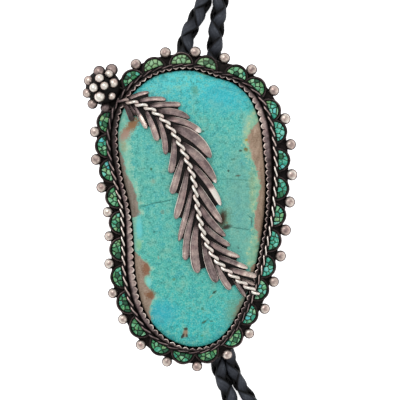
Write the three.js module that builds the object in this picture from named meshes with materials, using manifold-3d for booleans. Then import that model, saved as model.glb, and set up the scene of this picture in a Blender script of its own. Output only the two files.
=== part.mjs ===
// A bolo tie lying on its back: a large turquoise cabochon in a saw-toothed silver setting, framed by cells of
// chip inlay and silver beads, with a silver feather laid over the stone, on a braided leather cord.
// Millimetres. +X is right and +Y is up as the slide is worn, +Z comes out of its face, and z = 0 is the surface
// that it lies on. The origin is the middle of the rear clip's flat underside.

import * as THREE from 'three';
import { mergeVertices } from 'three/addons/utils/BufferGeometryUtils.js';
import Module from 'manifold-3d';

const wasm = await Module();
wasm.setup();

// Fits
const FIT_GAP = 0.3; // air between two pieces that touch
const SOLDER_DEPTH = 0.25; // how deep one soldered form sinks into the next

// Cord
const CORD_DIAMETER = 4.0;
const CORD_SIDES = 8;
const NECK_STEP = 12; // length of one straight facet of the neck loop
const TAIL_STEP = 8; // the same of a tail

// Rear clip: a plain plate with two round channels for the cord
const CLIP_LENGTH = 22;
const CLIP_WALL = 0.8;
const CLIP_WEB = 1.0; // metal between the two channels
const CLIP_FLANGE_WIDTH = 23;
const CLIP_ARC_SEGMENTS = 6;

// Turquoise cabochon: the part of it that shows inside the teeth, and its dome
const STONE_WIDTH = 44.6;
const STONE_LENGTH = 82.8;
const STONE_MIDDLE = new THREE.Vector2(-2.6, -2.7);
const STONE_UNDER_BEZEL = 0.5; // how far the stone's base runs on behind the teeth
const STONE_SIDE_LEAN = 0.45; // how far its side leans in, from the base to the start of the dome
const STONE_SIDE_HEIGHT = 1.5; // of the side below the dome
const STONE_DOME_HEIGHT = 4.6;
const STONE_SIDES = 44;

// Setting
const PLATE_THICKNESS = 1.0;
const PLATE_SIDES = 44;
const PLATE_PAST_CELLS = 2.05; // the plate's edge, outside the line of the cells' middles
const RIM_REACH = 5.2; // from the stone's visible edge to the line of the cells' middles, at its widest
const BEZEL_SHARE = 0.4; // the bezel's outer face, as a share of the local reach
const TOOTH_PITCH = 2.3;
const TOOTH_DEPTH = 0.9;
const TOOTH_SHEET = 0.4; // thickness of the sheet that the teeth are cut in
const TOOTH_TOP = 3.4; // above the plate
const RING_SHARE = 0.6; // the wire ring's line, as a share of the local reach
const RING_WIRE = 1.3; // diameter of the wire ring
const RING_LIFT = 0.45; // its middle, above the cells' wall tops
const RING_STEPS = 44;
const RING_SIDES = 5;

// Cells of chip inlay
const CELL_COUNT = 29;
const CELL_APART = 0.5; // metal between the walls of one cell and the next
const CELL_OUTER_DEPTH = 1.8; // inside the wall, from the middle line outward
const CELL_INNER_DEPTH = 1.5; // the same, towards the stone
const CELL_WALL = 0.55;
const CELL_HEIGHT = 2.0; // wall top, above the plate
const CELL_SIDES = 10;
const CELL_START = -0.0864; // where the first cell lies, as a share of the rim
const INLAY_FIT = 0.2; // air between an inlay and its cell
const INLAY_EDGE_DROP = 0.3; // the inlay's edge, below the wall top
const INLAY_CROWN = 0.45; // the inlay's middle, above its edge
const INLAY_FLAT = 0.6; // size of its flat middle, as a share of the whole

// Beads
const BEAD_DIAMETER = 3.3;
const BEAD_LIFT = 0.7; // the bead's middle, above the plate
const BEAD_SIDES = 10;
const BEAD_PROFILE = [
  { out: 0.0, up: -0.95 },
  { out: 1.0, up: -0.15 },
  { out: 0.76, up: 0.65 },
  { out: 0.0, up: 1.0 },
];

// Berry cluster of beads at the upper left, where the feather's stem starts
const BERRY_PLACE = { across: -1.188, along: 0.884 }; // shares of half the stone's width and length
const BERRY_RADIUS = 6.6; // from the cluster's middle to the middles of its outermost beads
const BERRY_BASE_RADIUS = 5.3;
const BERRY_BASE_WALL = 1.0; // upright part of the dome that the beads sit on, above the plate
const BERRY_BASE_HEIGHT = 4.1; // above the plate

// The cluster's beads: place and height above the plate in shares of BERRY_RADIUS, size in shares of
// BEAD_DIAMETER.
const BERRIES = [
  { across: 0.07, along: 0.04, lift: 0.76, size: 0.79 },
  { across: -0.15, along: 0.38, lift: 0.7, size: 0.82 },
  { across: -0.41, along: -0.04, lift: 0.7, size: 0.82 },
  { across: -0.14, along: -0.45, lift: 0.64, size: 1.0 },
  { across: 0.41, along: -0.42, lift: 0.55, size: 0.73 },
  { across: 0.48, along: 0.17, lift: 0.56, size: 0.88 },
  { across: 0.28, along: 0.59, lift: 0.5, size: 0.79 },
  { across: -0.18, along: 0.75, lift: 0.3, size: 1.03 },
  { across: 0.39, along: 0.83, lift: 0.26, size: 1.06 },
  { across: -0.69, along: 0.3, lift: 0.3, size: 0.88 },
  { across: -0.77, along: -0.26, lift: 0.26, size: 0.85 },
  { across: -0.52, along: -0.76, lift: 0.24, size: 0.88 },
  { across: 0.08, along: -0.97, lift: 0.2, size: 0.85 },
];

// Feather
const STEM_WIDTH = 1.6; // across the two twisted wires of the stem
const STEM_STEPS = 22;
const STEM_SIDES = 5;
const BLADE_WIDTH = 2.7; // of an ordinary wide blade
const BLADE_RIDGE = 0.9; // greatest height of the ridge along its middle

// Metal tips on the cord's two ends
const TIP_LENGTH = 38;
const TIP_MOUTH_DIAMETER = 5.8;
const TIP_END_DIAMETER = 2.4;
const TIP_BARREL = 11; // straight length behind the mouth
const TIP_SOCKET = 6; // depth of the hole that the cord sits in
const TIP_SIDES = 12;

// The stone's visible edge, clockwise from the top: shares of half its width and half its length, and the
// local reach of the rim as a share of RIM_REACH.
const STONE_EDGE = [
  { across: 0.02, along: 1.0, reach: 0.64 },
  { across: 0.29, along: 0.955, reach: 0.68 },
  { across: 0.57, along: 0.905, reach: 0.72 },
  { across: 0.8, along: 0.8, reach: 0.82 },
  { across: 0.93, along: 0.64, reach: 0.93 },
  { across: 0.985, along: 0.43, reach: 1.0 },
  { across: 1.0, along: 0.25, reach: 0.98 },
  { across: 0.975, along: -0.02, reach: 0.88 },
  { across: 0.915, along: -0.26, reach: 0.78 },
  { across: 0.85, along: -0.445, reach: 0.73 },
  { across: 0.72, along: -0.67, reach: 0.66 },
  { across: 0.5, along: -0.88, reach: 0.6 },
  { across: 0.3, along: -0.97, reach: 0.58 },
  { across: 0.04, along: -1.0, reach: 0.63 },
  { across: -0.24, along: -0.96, reach: 0.7 },
  { across: -0.49, along: -0.855, reach: 0.84 },
  { across: -0.66, along: -0.71, reach: 0.9 },
  { across: -0.76, along: -0.51, reach: 0.95 },
  { across: -0.79, along: -0.26, reach: 0.92 },
  { across: -0.82, along: 0.0, reach: 0.87 },
  { across: -0.91, along: 0.21, reach: 0.85 },
  { across: -0.985, along: 0.41, reach: 0.87 },
  { across: -0.995, along: 0.57, reach: 0.84 },
  { across: -0.915, along: 0.73, reach: 0.81 },
  { across: -0.73, along: 0.87, reach: 0.76 },
  { across: -0.42, along: 0.975, reach: 0.68 },
];

// The cells' hand-set rhythm: how far each one is shifted along the rim, as a share of their pitch. The first
// is the cell above the berry cluster, and they run clockwise.
const CELL_SHIFTS = [
  0.0, -0.04, 0.03, 0.01, 0.19, 0.07, 0.13, -0.02, 0.06, 0.13, 0.13, 0.09, 0.08, -0.01, 0.0,
  0.04, 0.22, 0.18, 0.11, 0.18, 0.24, 0.24, 0.27, 0.26, 0.2, 0.19, 0.15, 0.07, 0.07,
];
const CELL_UNDER_BERRY = 28; // this cell is hidden, so it holds no inlay

// The beads of the edge, one after each cell. Each lies half-way to the next cell, shifted along the rim by a
// share of the cells' pitch, and stands out from the line of the cells' middles. The berry cluster hides the
// beads after the last two cells.
const BEADS = [
  { shift: -0.05, out: 2.3 },
  { shift: 0.0, out: 2.55 },
  { shift: 0.0, out: 2.45 },
  { shift: 0.0, out: 2.9 },
  { shift: -0.05, out: 2.7 },
  { shift: -0.03, out: 2.75 },
  { shift: 0.04, out: 2.4 },
  { shift: 0.0, out: 2.75 },
  { shift: 0.0, out: 2.75 },
  { shift: -0.05, out: 2.75 },
  { shift: 0.0, out: 2.75 },
  { shift: 0.0, out: 2.85 },
  { shift: 0.0, out: 2.7 },
  { shift: 0.05, out: 2.9 },
  { shift: 0.05, out: 2.4 },
  { shift: -0.04, out: 2.1 },
  { shift: -0.05, out: 2.55 },
  { shift: 0.0, out: 2.75 },
  { shift: 0.04, out: 2.45 },
  { shift: 0.03, out: 2.15 },
  { shift: -0.03, out: 2.35 },
  { shift: 0.0, out: 2.3 },
  { shift: 0.0, out: 2.15 },
  { shift: -0.04, out: 2.3 },
  { shift: -0.03, out: 2.55 },
  { shift: 0.03, out: 2.3 },
  { shift: 0.05, out: 2.25 },
];

// The feather's stem, from the berry cluster to its end on the bezel: shares of half the stone's sizes.
const STEM = [
  { across: -0.99, along: 0.79 },
  { across: -0.8, along: 0.773 },
  { across: -0.545, along: 0.721 },
  { across: -0.329, along: 0.621 },
  { across: -0.176, along: 0.493 },
  { across: -0.061, along: 0.359 },
  { across: 0.028, along: 0.218 },
  { across: 0.064, along: 0.079 },
  { across: 0.114, along: -0.075 },
  { across: 0.189, along: -0.223 },
  { across: 0.322, along: -0.358 },
  { across: 0.523, along: -0.466 },
  { across: 0.726, along: -0.551 },
  { across: 0.91, along: -0.62 },
];

// Each blade: where it leaves the stem as a share of the stem's length, its tip in shares of half the stone's
// sizes, its bow to the left as a share of its length, and its width as a share of BLADE_WIDTH.
const UPPER_BLADES = [
  { at: 0.03, across: -0.57, along: 0.846, bow: 0.06, wide: 0.45 },
  { at: 0.07, across: -0.34, along: 0.791, bow: 0.08, wide: 0.55 },
  { at: 0.115, across: -0.142, along: 0.755, bow: 0.04, wide: 0.6 },
  { at: 0.155, across: -0.025, along: 0.656, bow: 0.1, wide: 0.65 },
  { at: 0.195, across: 0.13, along: 0.554, bow: 0.1, wide: 0.65 },
  { at: 0.235, across: 0.262, along: 0.37, bow: 0.12, wide: 1.24 },
  { at: 0.305, across: 0.332, along: 0.188, bow: 0.075, wide: 1.22 },
  { at: 0.385, across: 0.396, along: 0.025, bow: 0.06, wide: 1.0 },
  { at: 0.46, across: 0.41, along: -0.098, bow: -0.01, wide: 0.8 },
  { at: 0.54, across: 0.459, along: -0.196, bow: -0.05, wide: 0.8 },
  { at: 0.625, across: 0.52, along: -0.264, bow: -0.05, wide: 0.65 },
  { at: 0.69, across: 0.652, along: -0.346, bow: -0.06, wide: 0.65 },
  { at: 0.76, across: 0.762, along: -0.428, bow: 0.0, wide: 0.65 },
  { at: 0.83, across: 0.876, along: -0.488, bow: 0.0, wide: 0.6 },
  { at: 0.89, across: 0.853, along: -0.547, bow: 0.02, wide: 0.45 },
];
const LOWER_BLADES = [
  { at: 0.015, across: -0.798, along: 0.638, bow: 0.06, wide: 0.62 },
  { at: 0.035, across: -0.728, along: 0.674, bow: 0.0, wide: 0.35 },
  { at: 0.058, across: -0.599, along: 0.581, bow: 0.0, wide: 0.55 },
  { at: 0.105, across: -0.454, along: 0.493, bow: 0.02, wide: 0.66 },
  { at: 0.15, across: -0.344, along: 0.393, bow: 0.07, wide: 0.66 },
  { at: 0.26, across: -0.28, along: 0.259, bow: 0.05, wide: 0.78 },
  { at: 0.35, across: -0.26, along: 0.11, bow: 0.0, wide: 0.88 },
  { at: 0.395, across: -0.212, along: -0.072, bow: 0.02, wide: 1.0 },
  { at: 0.46, across: -0.169, along: -0.232, bow: 0.015, wide: 0.74 },
  { at: 0.55, across: -0.077, along: -0.37, bow: -0.05, wide: 0.84 },
  { at: 0.61, across: 0.092, along: -0.462, bow: -0.085, wide: 1.05 },
  { at: 0.672, across: 0.345, along: -0.529, bow: -0.055, wide: 1.0 },
  { at: 0.77, across: 0.527, along: -0.582, bow: -0.05, wide: 0.78 },
  { at: 0.86, across: 0.728, along: -0.636, bow: 0.0, wide: 0.5 },
];

// A blade along its length: its half width and the height of its ridge, each as a share of its greatest.
const BLADE_SECTIONS = [
  { at: 0.0, half: 0.3, ridge: 0.5 },
  { at: 0.45, half: 0.9, ridge: 1.0 },
  { at: 0.8, half: 0.95, ridge: 1.0 },
  { at: 1.0, half: 0.2, ridge: 0.4 },
];

// The stone's dome from its edge to its top, as shares of its radius. Its height follows DOME_POWERS.
const DOME_RINGS = [1.0, 0.97, 0.88, 0.72, 0.5, 0.25];
const DOME_POWERS = { radius: 2.4, height: 0.6 };

// Levels, from the surface up
const CORD_RADIUS = CORD_DIAMETER / 2;
const CHANNEL_RADIUS = CORD_RADIUS + FIT_GAP;
const CLIP_STRAND_Z = CLIP_WALL + CHANNEL_RADIUS;
const CLIP_STRAND_X = CHANNEL_RADIUS + CLIP_WEB / 2;
const CLIP_HEIGHT = 2 * (CHANNEL_RADIUS + CLIP_WALL);
const PLATE_UNDER = CLIP_HEIGHT + FIT_GAP;
const PLATE_TOP = PLATE_UNDER + PLATE_THICKNESS;
const STONE_UNDER = PLATE_TOP + FIT_GAP;
const DOME_START = STONE_UNDER + STONE_SIDE_HEIGHT;
const DOME_OUTSIDE = STONE_UNDER_BEZEL - STONE_SIDE_LEAN; // the dome's edge, outside the visible one
const CELL_TOP = PLATE_TOP + CELL_HEIGHT;
const TEETH_TOP = PLATE_TOP + TOOTH_TOP;
const BEZEL_INSIDE = STONE_UNDER_BEZEL + FIT_GAP; // its inner face, outside the stone's visible edge

// The cord's routes. Behind the slide a strand comes out of the clip and sinks to the surface. Outside the
// clip the points are chosen by hand, and z is where the strand's middle lies.
const LYING_Z = CORD_RADIUS;
const TIP_AXIS_Z = TIP_MOUTH_DIAMETER / 2;
const SPLIT_Y = FIT_GAP / 2; // the cord is in three lengths that meet in the middle of the clip
const CLIP_MOUTH_Y = CLIP_LENGTH / 2;

const NECK_ROUTE = [
  [-CLIP_STRAND_X, SPLIT_Y, CLIP_STRAND_Z],
  [-CLIP_STRAND_X, CLIP_MOUTH_Y, CLIP_STRAND_Z],
  [-3.4, 21, 2.5],
  [-4.4, 33, LYING_Z],
  [-5.0, 44, LYING_Z],
  [-3.9, 49, LYING_Z],
  [-1.7, 54, LYING_Z],
  [1.2, 60, LYING_Z],
  [2.4, 66, LYING_Z],
  [0.6, 73, LYING_Z],
  [-9, 85, LYING_Z],
  [-29, 99, LYING_Z],
  [-56, 118, LYING_Z],
  [-78, 145, LYING_Z],
  [-87, 179, LYING_Z],
  [-79, 214, LYING_Z],
  [-56, 241, LYING_Z],
  [-22, 259, LYING_Z],
  [17, 262, LYING_Z],
  [53, 251, LYING_Z],
  [82, 225, LYING_Z],
  [95, 191, LYING_Z],
  [91, 155, LYING_Z],
  [70, 123, LYING_Z],
  [41, 102, LYING_Z],
  [20, 88, LYING_Z],
  [9.2, 74, LYING_Z],
  [6.6, 62, LYING_Z],
  [5.3, 54, LYING_Z],
  [4.4, 46, LYING_Z],
  [3.8, 33, LYING_Z],
  [3.2, 21, 2.5],
  [CLIP_STRAND_X, CLIP_MOUTH_Y, CLIP_STRAND_Z],
  [CLIP_STRAND_X, SPLIT_Y, CLIP_STRAND_Z],
];
const TAIL_ROUTES = {
  left: [
    [-CLIP_STRAND_X, -SPLIT_Y, CLIP_STRAND_Z],
    [-CLIP_STRAND_X, -CLIP_MOUTH_Y, CLIP_STRAND_Z],
    [-1.7, -20, 2.5],
    [0.6, -30, LYING_Z],
    [2.9, -40, LYING_Z],
    [4.9, -48.5, LYING_Z],
    [5.9, -52, 2.2],
    [7.4, -56, 2.6],
    [9.1, -60, TIP_AXIS_Z],
    [11.0, -64.3, TIP_AXIS_Z - 0.05],
    [12.7, -68, TIP_AXIS_Z - 0.25],
  ],
  right: [
    [CLIP_STRAND_X, -SPLIT_Y, CLIP_STRAND_Z],
    [CLIP_STRAND_X, -CLIP_MOUTH_Y, CLIP_STRAND_Z],
    [3.6, -20, 2.5],
    [5.4, -30, LYING_Z],
    [7.5, -40, LYING_Z],
    [9.5, -48.5, LYING_Z],
    [10.7, -52, 2.2],
    [12.6, -56, 2.6],
    [15.0, -60, TIP_AXIS_Z],
    [17.8, -64, TIP_AXIS_Z - 0.05],
    [20.3, -67.3, TIP_AXIS_Z - 0.25],
  ],
};

const material = (color, roughness, metalness) => new THREE.MeshStandardMaterial({ color, roughness, metalness });
const SILVER = material(0xa59a93, 0.35, 0.95);
const TURQUOISE = material(0x52bdb4, 0.4, 0.0);
const INLAY_GREENS = [0x3f9c78, 0x4fae86, 0x2f8f77, 0x63b594].map((color) => material(color, 0.45, 0.0));
const LEATHER = material(0x24262b, 0.6, 0.0);

// Manifold solids and three.js geometries

// The solid that a closed geometry bounds.
function solidOf(geometry) {
  const bare = geometry.clone();
  bare.deleteAttribute('normal');
  bare.deleteAttribute('uv');
  const merged = mergeVertices(bare, 1e-4);
  return new wasm.Manifold(new wasm.Mesh({
    numProp: 3,
    vertProperties: new Float32Array(merged.attributes.position.array),
    triVerts: new Uint32Array(merged.index.array),
  }));
}

function geometryOf(solid) {
  const mesh = solid.getMesh();
  const geometry = new THREE.BufferGeometry();
  geometry.setAttribute('position', new THREE.BufferAttribute(new Float32Array(mesh.vertProperties), 3));
  geometry.setIndex(new THREE.BufferAttribute(new Uint32Array(mesh.triVerts), 1));
  const faceted = geometry.toNonIndexed();
  faceted.computeVertexNormals();
  return faceted;
}

const union = (solids) => wasm.Manifold.union(solids);

// Six times the volume inside a closed skin, negative where its faces point in.
function signedVolume(points, index) {
  let sum = 0;
  for (let i = 0; i < index.length; i += 3) {
    const [a, b, c] = [points[index[i]], points[index[i + 1]], points[index[i + 2]]];
    sum += a.dot(b.clone().cross(c));
  }
  return sum;
}

// One closed skin through rings of points. A hoop joins its last ring to its first; any other loft is closed by
// a fan round the middle of each end ring. The faces point out whichever way the rings run.
function loft(rings, hoop = false) {
  const count = rings[0].length;
  const points = rings.flat();
  const index = [];
  const spans = hoop ? rings.length : rings.length - 1;
  for (let i = 0; i < spans; i += 1) {
    const here = i * count;
    const next = ((i + 1) % rings.length) * count;
    for (let j = 0; j < count; j += 1) {
      const k = (j + 1) % count;
      index.push(here + j, here + k, next + k, here + j, next + k, next + j);
    }
  }
  if (!hoop) {
    const last = (rings.length - 1) * count;
    const [first, end] = [rings[0], rings[rings.length - 1]].map((ring) => {
      points.push(ring.reduce((sum, point) => sum.add(point), new THREE.Vector3()).divideScalar(count));
      return points.length - 1;
    });
    for (let j = 0; j < count; j += 1) {
      const k = (j + 1) % count;
      index.push(first, k, j, end, last + j, last + k);
    }
  }
  if (signedVolume(points, index) < 0) {
    index.reverse();
  }
  const geometry = new THREE.BufferGeometry();
  geometry.setAttribute('position', new THREE.Float32BufferAttribute(points.flatMap((p) => p.toArray()), 3));
  geometry.setIndex(index);
  return geometry;
}

// A flat outline drawn up between two levels.
function prism(outline, low, high) {
  return loft([low, high].map((z) => outline.map((p) => new THREE.Vector3(p.x, p.y, z))));
}

// An outline drawn in towards its middle and set at a level.
const shrunk = (outline, middle, share, z) => outline.map((p) => new THREE.Vector3(
  middle.x + (p.x - middle.x) * share,
  middle.y + (p.y - middle.y) * share,
  z,
));

// The stone's edge and the lines that follow it

const onStone = ({ across, along }) => new THREE.Vector2(
  STONE_MIDDLE.x + (across * STONE_WIDTH) / 2,
  STONE_MIDDLE.y + (along * STONE_LENGTH) / 2,
);

function closedCurve(points) {
  const curve = new THREE.CatmullRomCurve3(points, true, 'centripetal');
  curve.arcLengthDivisions = 1200;
  return curve;
}

// The visible edge as a curve. Its z holds the local reach of the rim, as a share of RIM_REACH.
const stoneEdge = closedCurve(STONE_EDGE.map((row) => {
  const place = onStone(row);
  return new THREE.Vector3(place.x, place.y, row.reach);
}));

// The outward normal of a closed clockwise curve at a share of its length, in plan.
function outwardAt(curve, share) {
  const tangent = curve.getTangentAt(share);
  return new THREE.Vector2(-tangent.y, tangent.x).normalize();
}

// A point outside the visible edge: a fixed distance plus a share of the local reach.
function besideStone(share, distance, reachShare = 0) {
  const here = stoneEdge.getPointAt(share);
  const out = outwardAt(stoneEdge, share);
  const offset = distance + reachShare * here.z * RIM_REACH;
  return new THREE.Vector2(here.x + out.x * offset, here.y + out.y * offset);
}

const shares = (count) => Array.from({ length: count }, (_, i) => i / count);
const stoneOutline = (count, distance, reachShare = 0) => shares(count)
  .map((share) => besideStone(share, distance, reachShare));

// The line of the cells' middles.
const cellLine = closedCurve(stoneOutline(90, 0, 1).map((p) => new THREE.Vector3(p.x, p.y, 0)));

// A place beside the cells' line: how far along it, in shares, and how far outside it.
function besideCells(share, out) {
  const turn = THREE.MathUtils.euclideanModulo(share, 1);
  const here = cellLine.getPointAt(turn);
  const outward = outwardAt(cellLine, turn);
  return new THREE.Vector2(here.x + outward.x * out, here.y + outward.y * out);
}

// Inside a cell's walls, along the rim.
const CELL_LENGTH = cellLine.getLength() / CELL_COUNT - 2 * CELL_WALL - CELL_APART;

const cellShare = (cell) => CELL_START + (cell + CELL_SHIFTS[cell % CELL_COUNT]) / CELL_COUNT;

// Half-way between a cell and the next.
function beadShare(cell) {
  const next = cell + 1 < CELL_COUNT ? cellShare(cell + 1) : cellShare(0) + 1;
  return (cellShare(cell) + next) / 2;
}

// The distance from the stone's middle to the edge of its dome, in each direction.
const trueEdge = stoneOutline(720, DOME_OUTSIDE).map((p) => p.clone().sub(STONE_MIDDLE));
const DIRECTIONS = 360;
const edgeRadii = Array.from({ length: DIRECTIONS }, () => 0);
for (const point of trueEdge) {
  const slot = Math.round((point.angle() / (2 * Math.PI)) * DIRECTIONS) % DIRECTIONS;
  edgeRadii[slot] = Math.max(edgeRadii[slot], point.length());
}

// How high the stone's surface stands at a share of its radius, and at a place.
const domeAt = (share) => DOME_START
  + STONE_DOME_HEIGHT * (1 - Math.min(1, share) ** DOME_POWERS.radius) ** DOME_POWERS.height;

function domeOver(place) {
  const from = place.clone().sub(STONE_MIDDLE);
  const slot = Math.round((from.angle() / (2 * Math.PI)) * DIRECTIONS) % DIRECTIONS;
  const near = edgeRadii[slot] || edgeRadii[(slot + 1) % DIRECTIONS];
  return domeAt(from.length() / near);
}

// The underside of whatever lies over the stone: clear of the dome, and soldered to the teeth at the edge.
const overStone = (place) => Math.max(domeOver(place) + FIT_GAP, TEETH_TOP - SOLDER_DEPTH);

// Pieces of the setting

// A cell's outline, grown all round: a half-moon whose straight side lies along the wire ring.
function cellOutline(cell, grow) {
  const share = THREE.MathUtils.euclideanModulo(cellShare(cell), 1);
  const middle = cellLine.getPointAt(share);
  const out = outwardAt(cellLine, share);
  const along = new THREE.Vector2(out.y, -out.x);
  const chord = -CELL_INNER_DEPTH - grow;
  const bulge = CELL_INNER_DEPTH + CELL_OUTER_DEPTH + 2 * grow;
  return shares(CELL_SIDES).map((turn) => {
    const angle = (turn * Math.PI * CELL_SIDES) / (CELL_SIDES - 1);
    const u = Math.cos(angle) * (CELL_LENGTH / 2 + grow);
    const v = chord + Math.sin(angle) * bulge;
    return new THREE.Vector2(middle.x + along.x * u + out.x * v, middle.y + along.y * u + out.y * v);
  });
}

const cells = Array.from({ length: CELL_COUNT }, (_, cell) => cell);
const filledCells = cells.filter((cell) => cell !== CELL_UNDER_BERRY);

function plate() {
  const outline = shares(PLATE_SIDES).map((share) => besideCells(share, PLATE_PAST_CELLS));
  return solidOf(prism(outline, PLATE_UNDER, PLATE_TOP));
}

// A bead, round above and drawn in below to where it is soldered.
function bead(x, y, z, diameter) {
  const profile = BEAD_PROFILE.map(({ out, up }) => new THREE.Vector2((out * diameter) / 2, (up * diameter) / 2));
  const ball = new THREE.LatheGeometry(profile, BEAD_SIDES);
  ball.rotateX(Math.PI / 2);
  ball.translate(x, y, z);
  return solidOf(ball);
}

function edgeBeads() {
  return BEADS.map(({ shift, out }, cell) => {
    const place = besideCells(beadShare(cell) + shift / CELL_COUNT, out);
    return bead(place.x, place.y, PLATE_TOP + BEAD_LIFT, BEAD_DIAMETER);
  });
}

// The bezel: a wall whose saw-toothed upper part is bent in over the stone's edge.
function bezel() {
  const count = Math.round(stoneEdge.getLength() / TOOTH_PITCH);
  const foot = PLATE_TOP - SOLDER_DEPTH;
  const rings = shares(2 * count).map((share, station) => {
    const lip = besideStone(share, station % 2 ? TOOTH_DEPTH : 0);
    const outer = besideStone(share, 0, BEZEL_SHARE);
    const inner = besideStone(share, BEZEL_INSIDE);
    return [
      new THREE.Vector3(outer.x, outer.y, foot),
      new THREE.Vector3(lip.x, lip.y, TEETH_TOP),
      new THREE.Vector3(lip.x, lip.y, TEETH_TOP - TOOTH_SHEET),
      new THREE.Vector3(inner.x, inner.y, foot),
    ];
  });
  return solidOf(loft(rings, true));
}

// The wire that runs round between the bezel and the cells.
function wireRing() {
  const rings = shares(RING_STEPS).map((share) => {
    const middle = besideStone(share, 0, RING_SHARE);
    const out = outwardAt(stoneEdge, share);
    return shares(RING_SIDES).map((turn) => {
      const angle = turn * 2 * Math.PI;
      const side = (Math.cos(angle) * RING_WIRE) / 2;
      const rise = (Math.sin(angle) * RING_WIRE) / 2;
      return new THREE.Vector3(middle.x + out.x * side, middle.y + out.y * side, CELL_TOP + RING_LIFT + rise);
    });
  });
  return solidOf(loft(rings, true));
}

function berryCluster() {
  const middle = onStone(BERRY_PLACE);
  const shoulder = PLATE_TOP + BERRY_BASE_WALL;
  const dome = [[0, PLATE_UNDER], [BERRY_BASE_RADIUS, PLATE_UNDER], [BERRY_BASE_RADIUS, shoulder]];
  for (const turn of [30, 60, 90]) {
    const angle = THREE.MathUtils.degToRad(turn);
    dome.push([
      turn === 90 ? 0 : BERRY_BASE_RADIUS * Math.cos(angle),
      shoulder + (BERRY_BASE_HEIGHT - BERRY_BASE_WALL) * Math.sin(angle),
    ]);
  }
  const base = new THREE.LatheGeometry(dome.map(([r, z]) => new THREE.Vector2(r, z)), BEAD_SIDES);
  base.rotateX(Math.PI / 2);
  base.translate(middle.x, middle.y, 0);
  const beads = BERRIES.map(({ across, along, lift, size }) => bead(
    middle.x + across * BERRY_RADIUS,
    middle.y + along * BERRY_RADIUS,
    PLATE_TOP + lift * BERRY_RADIUS,
    size * BEAD_DIAMETER,
  ));
  return [solidOf(base), ...beads];
}

// The feather's stem in plan, and a place on it at a share of its length.
const stemLine = new THREE.CatmullRomCurve3(STEM.map((row) => {
  const place = onStone(row);
  return new THREE.Vector3(place.x, place.y, 0);
}), false, 'centripetal');

const stemPlace = (share) => {
  const point = stemLine.getPointAt(share);
  return new THREE.Vector2(point.x, point.y);
};

// The stem: two wires twisted together, drawn as one round bar of the same width.
function stem() {
  const rings = Array.from({ length: STEM_STEPS + 1 }, (_, step) => {
    const place = stemPlace(step / STEM_STEPS);
    const tangent = stemLine.getTangentAt(step / STEM_STEPS);
    const side = new THREE.Vector2(-tangent.y, tangent.x);
    const middle = overStone(place) + STEM_WIDTH / 2;
    return shares(STEM_SIDES).map((turn) => {
      const angle = turn * 2 * Math.PI;
      const across = (Math.cos(angle) * STEM_WIDTH) / 2;
      const rise = (Math.sin(angle) * STEM_WIDTH) / 2;
      return new THREE.Vector3(place.x + side.x * across, place.y + side.y * across, middle + rise);
    });
  });
  return solidOf(loft(rings));
}

// One long blade with a ridge along its middle and sharp edges, following the dome under it.
function blade(row) {
  const root = stemPlace(row.at);
  const tip = onStone(row);
  const run = tip.clone().sub(root);
  const left = new THREE.Vector2(-run.y, run.x);
  const bend = root.clone().add(tip).multiplyScalar(0.5).addScaledVector(left, 2 * row.bow);
  const line = new THREE.QuadraticBezierCurve(root, bend, tip);
  const rings = BLADE_SECTIONS.map((section) => {
    const place = line.getPoint(section.at);
    const tangent = line.getTangent(section.at);
    const side = new THREE.Vector2(-tangent.y, tangent.x);
    const half = (section.half * row.wide * BLADE_WIDTH) / 2;
    const one = place.clone().addScaledVector(side, half);
    const other = place.clone().addScaledVector(side, -half);
    return [
      new THREE.Vector3(one.x, one.y, overStone(one)),
      new THREE.Vector3(place.x, place.y, overStone(place) + section.ridge * BLADE_RIDGE),
      new THREE.Vector3(other.x, other.y, overStone(other)),
    ];
  });
  return solidOf(loft(rings));
}

const feather = () => [stem(), ...[...UPPER_BLADES, ...LOWER_BLADES].map(blade)];

function setting() {
  const lobes = cells.map((cell) => solidOf(prism(cellOutline(cell, CELL_WALL), PLATE_UNDER, CELL_TOP)));
  const pocketTop = CELL_TOP + RING_LIFT + RING_WIRE / 2;
  const pockets = filledCells.map((cell) => solidOf(prism(cellOutline(cell, 0), PLATE_TOP, pocketTop)));
  const metal = union([
    plate(),
    bezel(),
    wireRing(),
    ...lobes,
    ...edgeBeads(),
    ...berryCluster(),
    ...feather(),
  ]);
  return metal.subtract(union(pockets));
}

// Stones

function turquoise() {
  const base = stoneOutline(STONE_SIDES, STONE_UNDER_BEZEL);
  const edge = stoneOutline(STONE_SIDES, DOME_OUTSIDE);
  return loft([
    base.map((p) => new THREE.Vector3(p.x, p.y, STONE_UNDER)),
    ...DOME_RINGS.map((share) => shrunk(edge, STONE_MIDDLE, share, domeAt(share))),
  ]);
}

// A cell's filling: a low cushion of set chips.
function inlay(cell) {
  const edge = cellOutline(cell, -INLAY_FIT);
  const middle = edge.reduce((sum, p) => sum.add(p), new THREE.Vector2()).divideScalar(edge.length);
  const edgeTop = CELL_TOP - INLAY_EDGE_DROP;
  return loft([
    shrunk(edge, middle, 1, PLATE_TOP + INLAY_FIT),
    shrunk(edge, middle, 1, edgeTop),
    shrunk(edge, middle, INLAY_FLAT, edgeTop + INLAY_CROWN),
  ]);
}

// Cord, clip and tips

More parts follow.
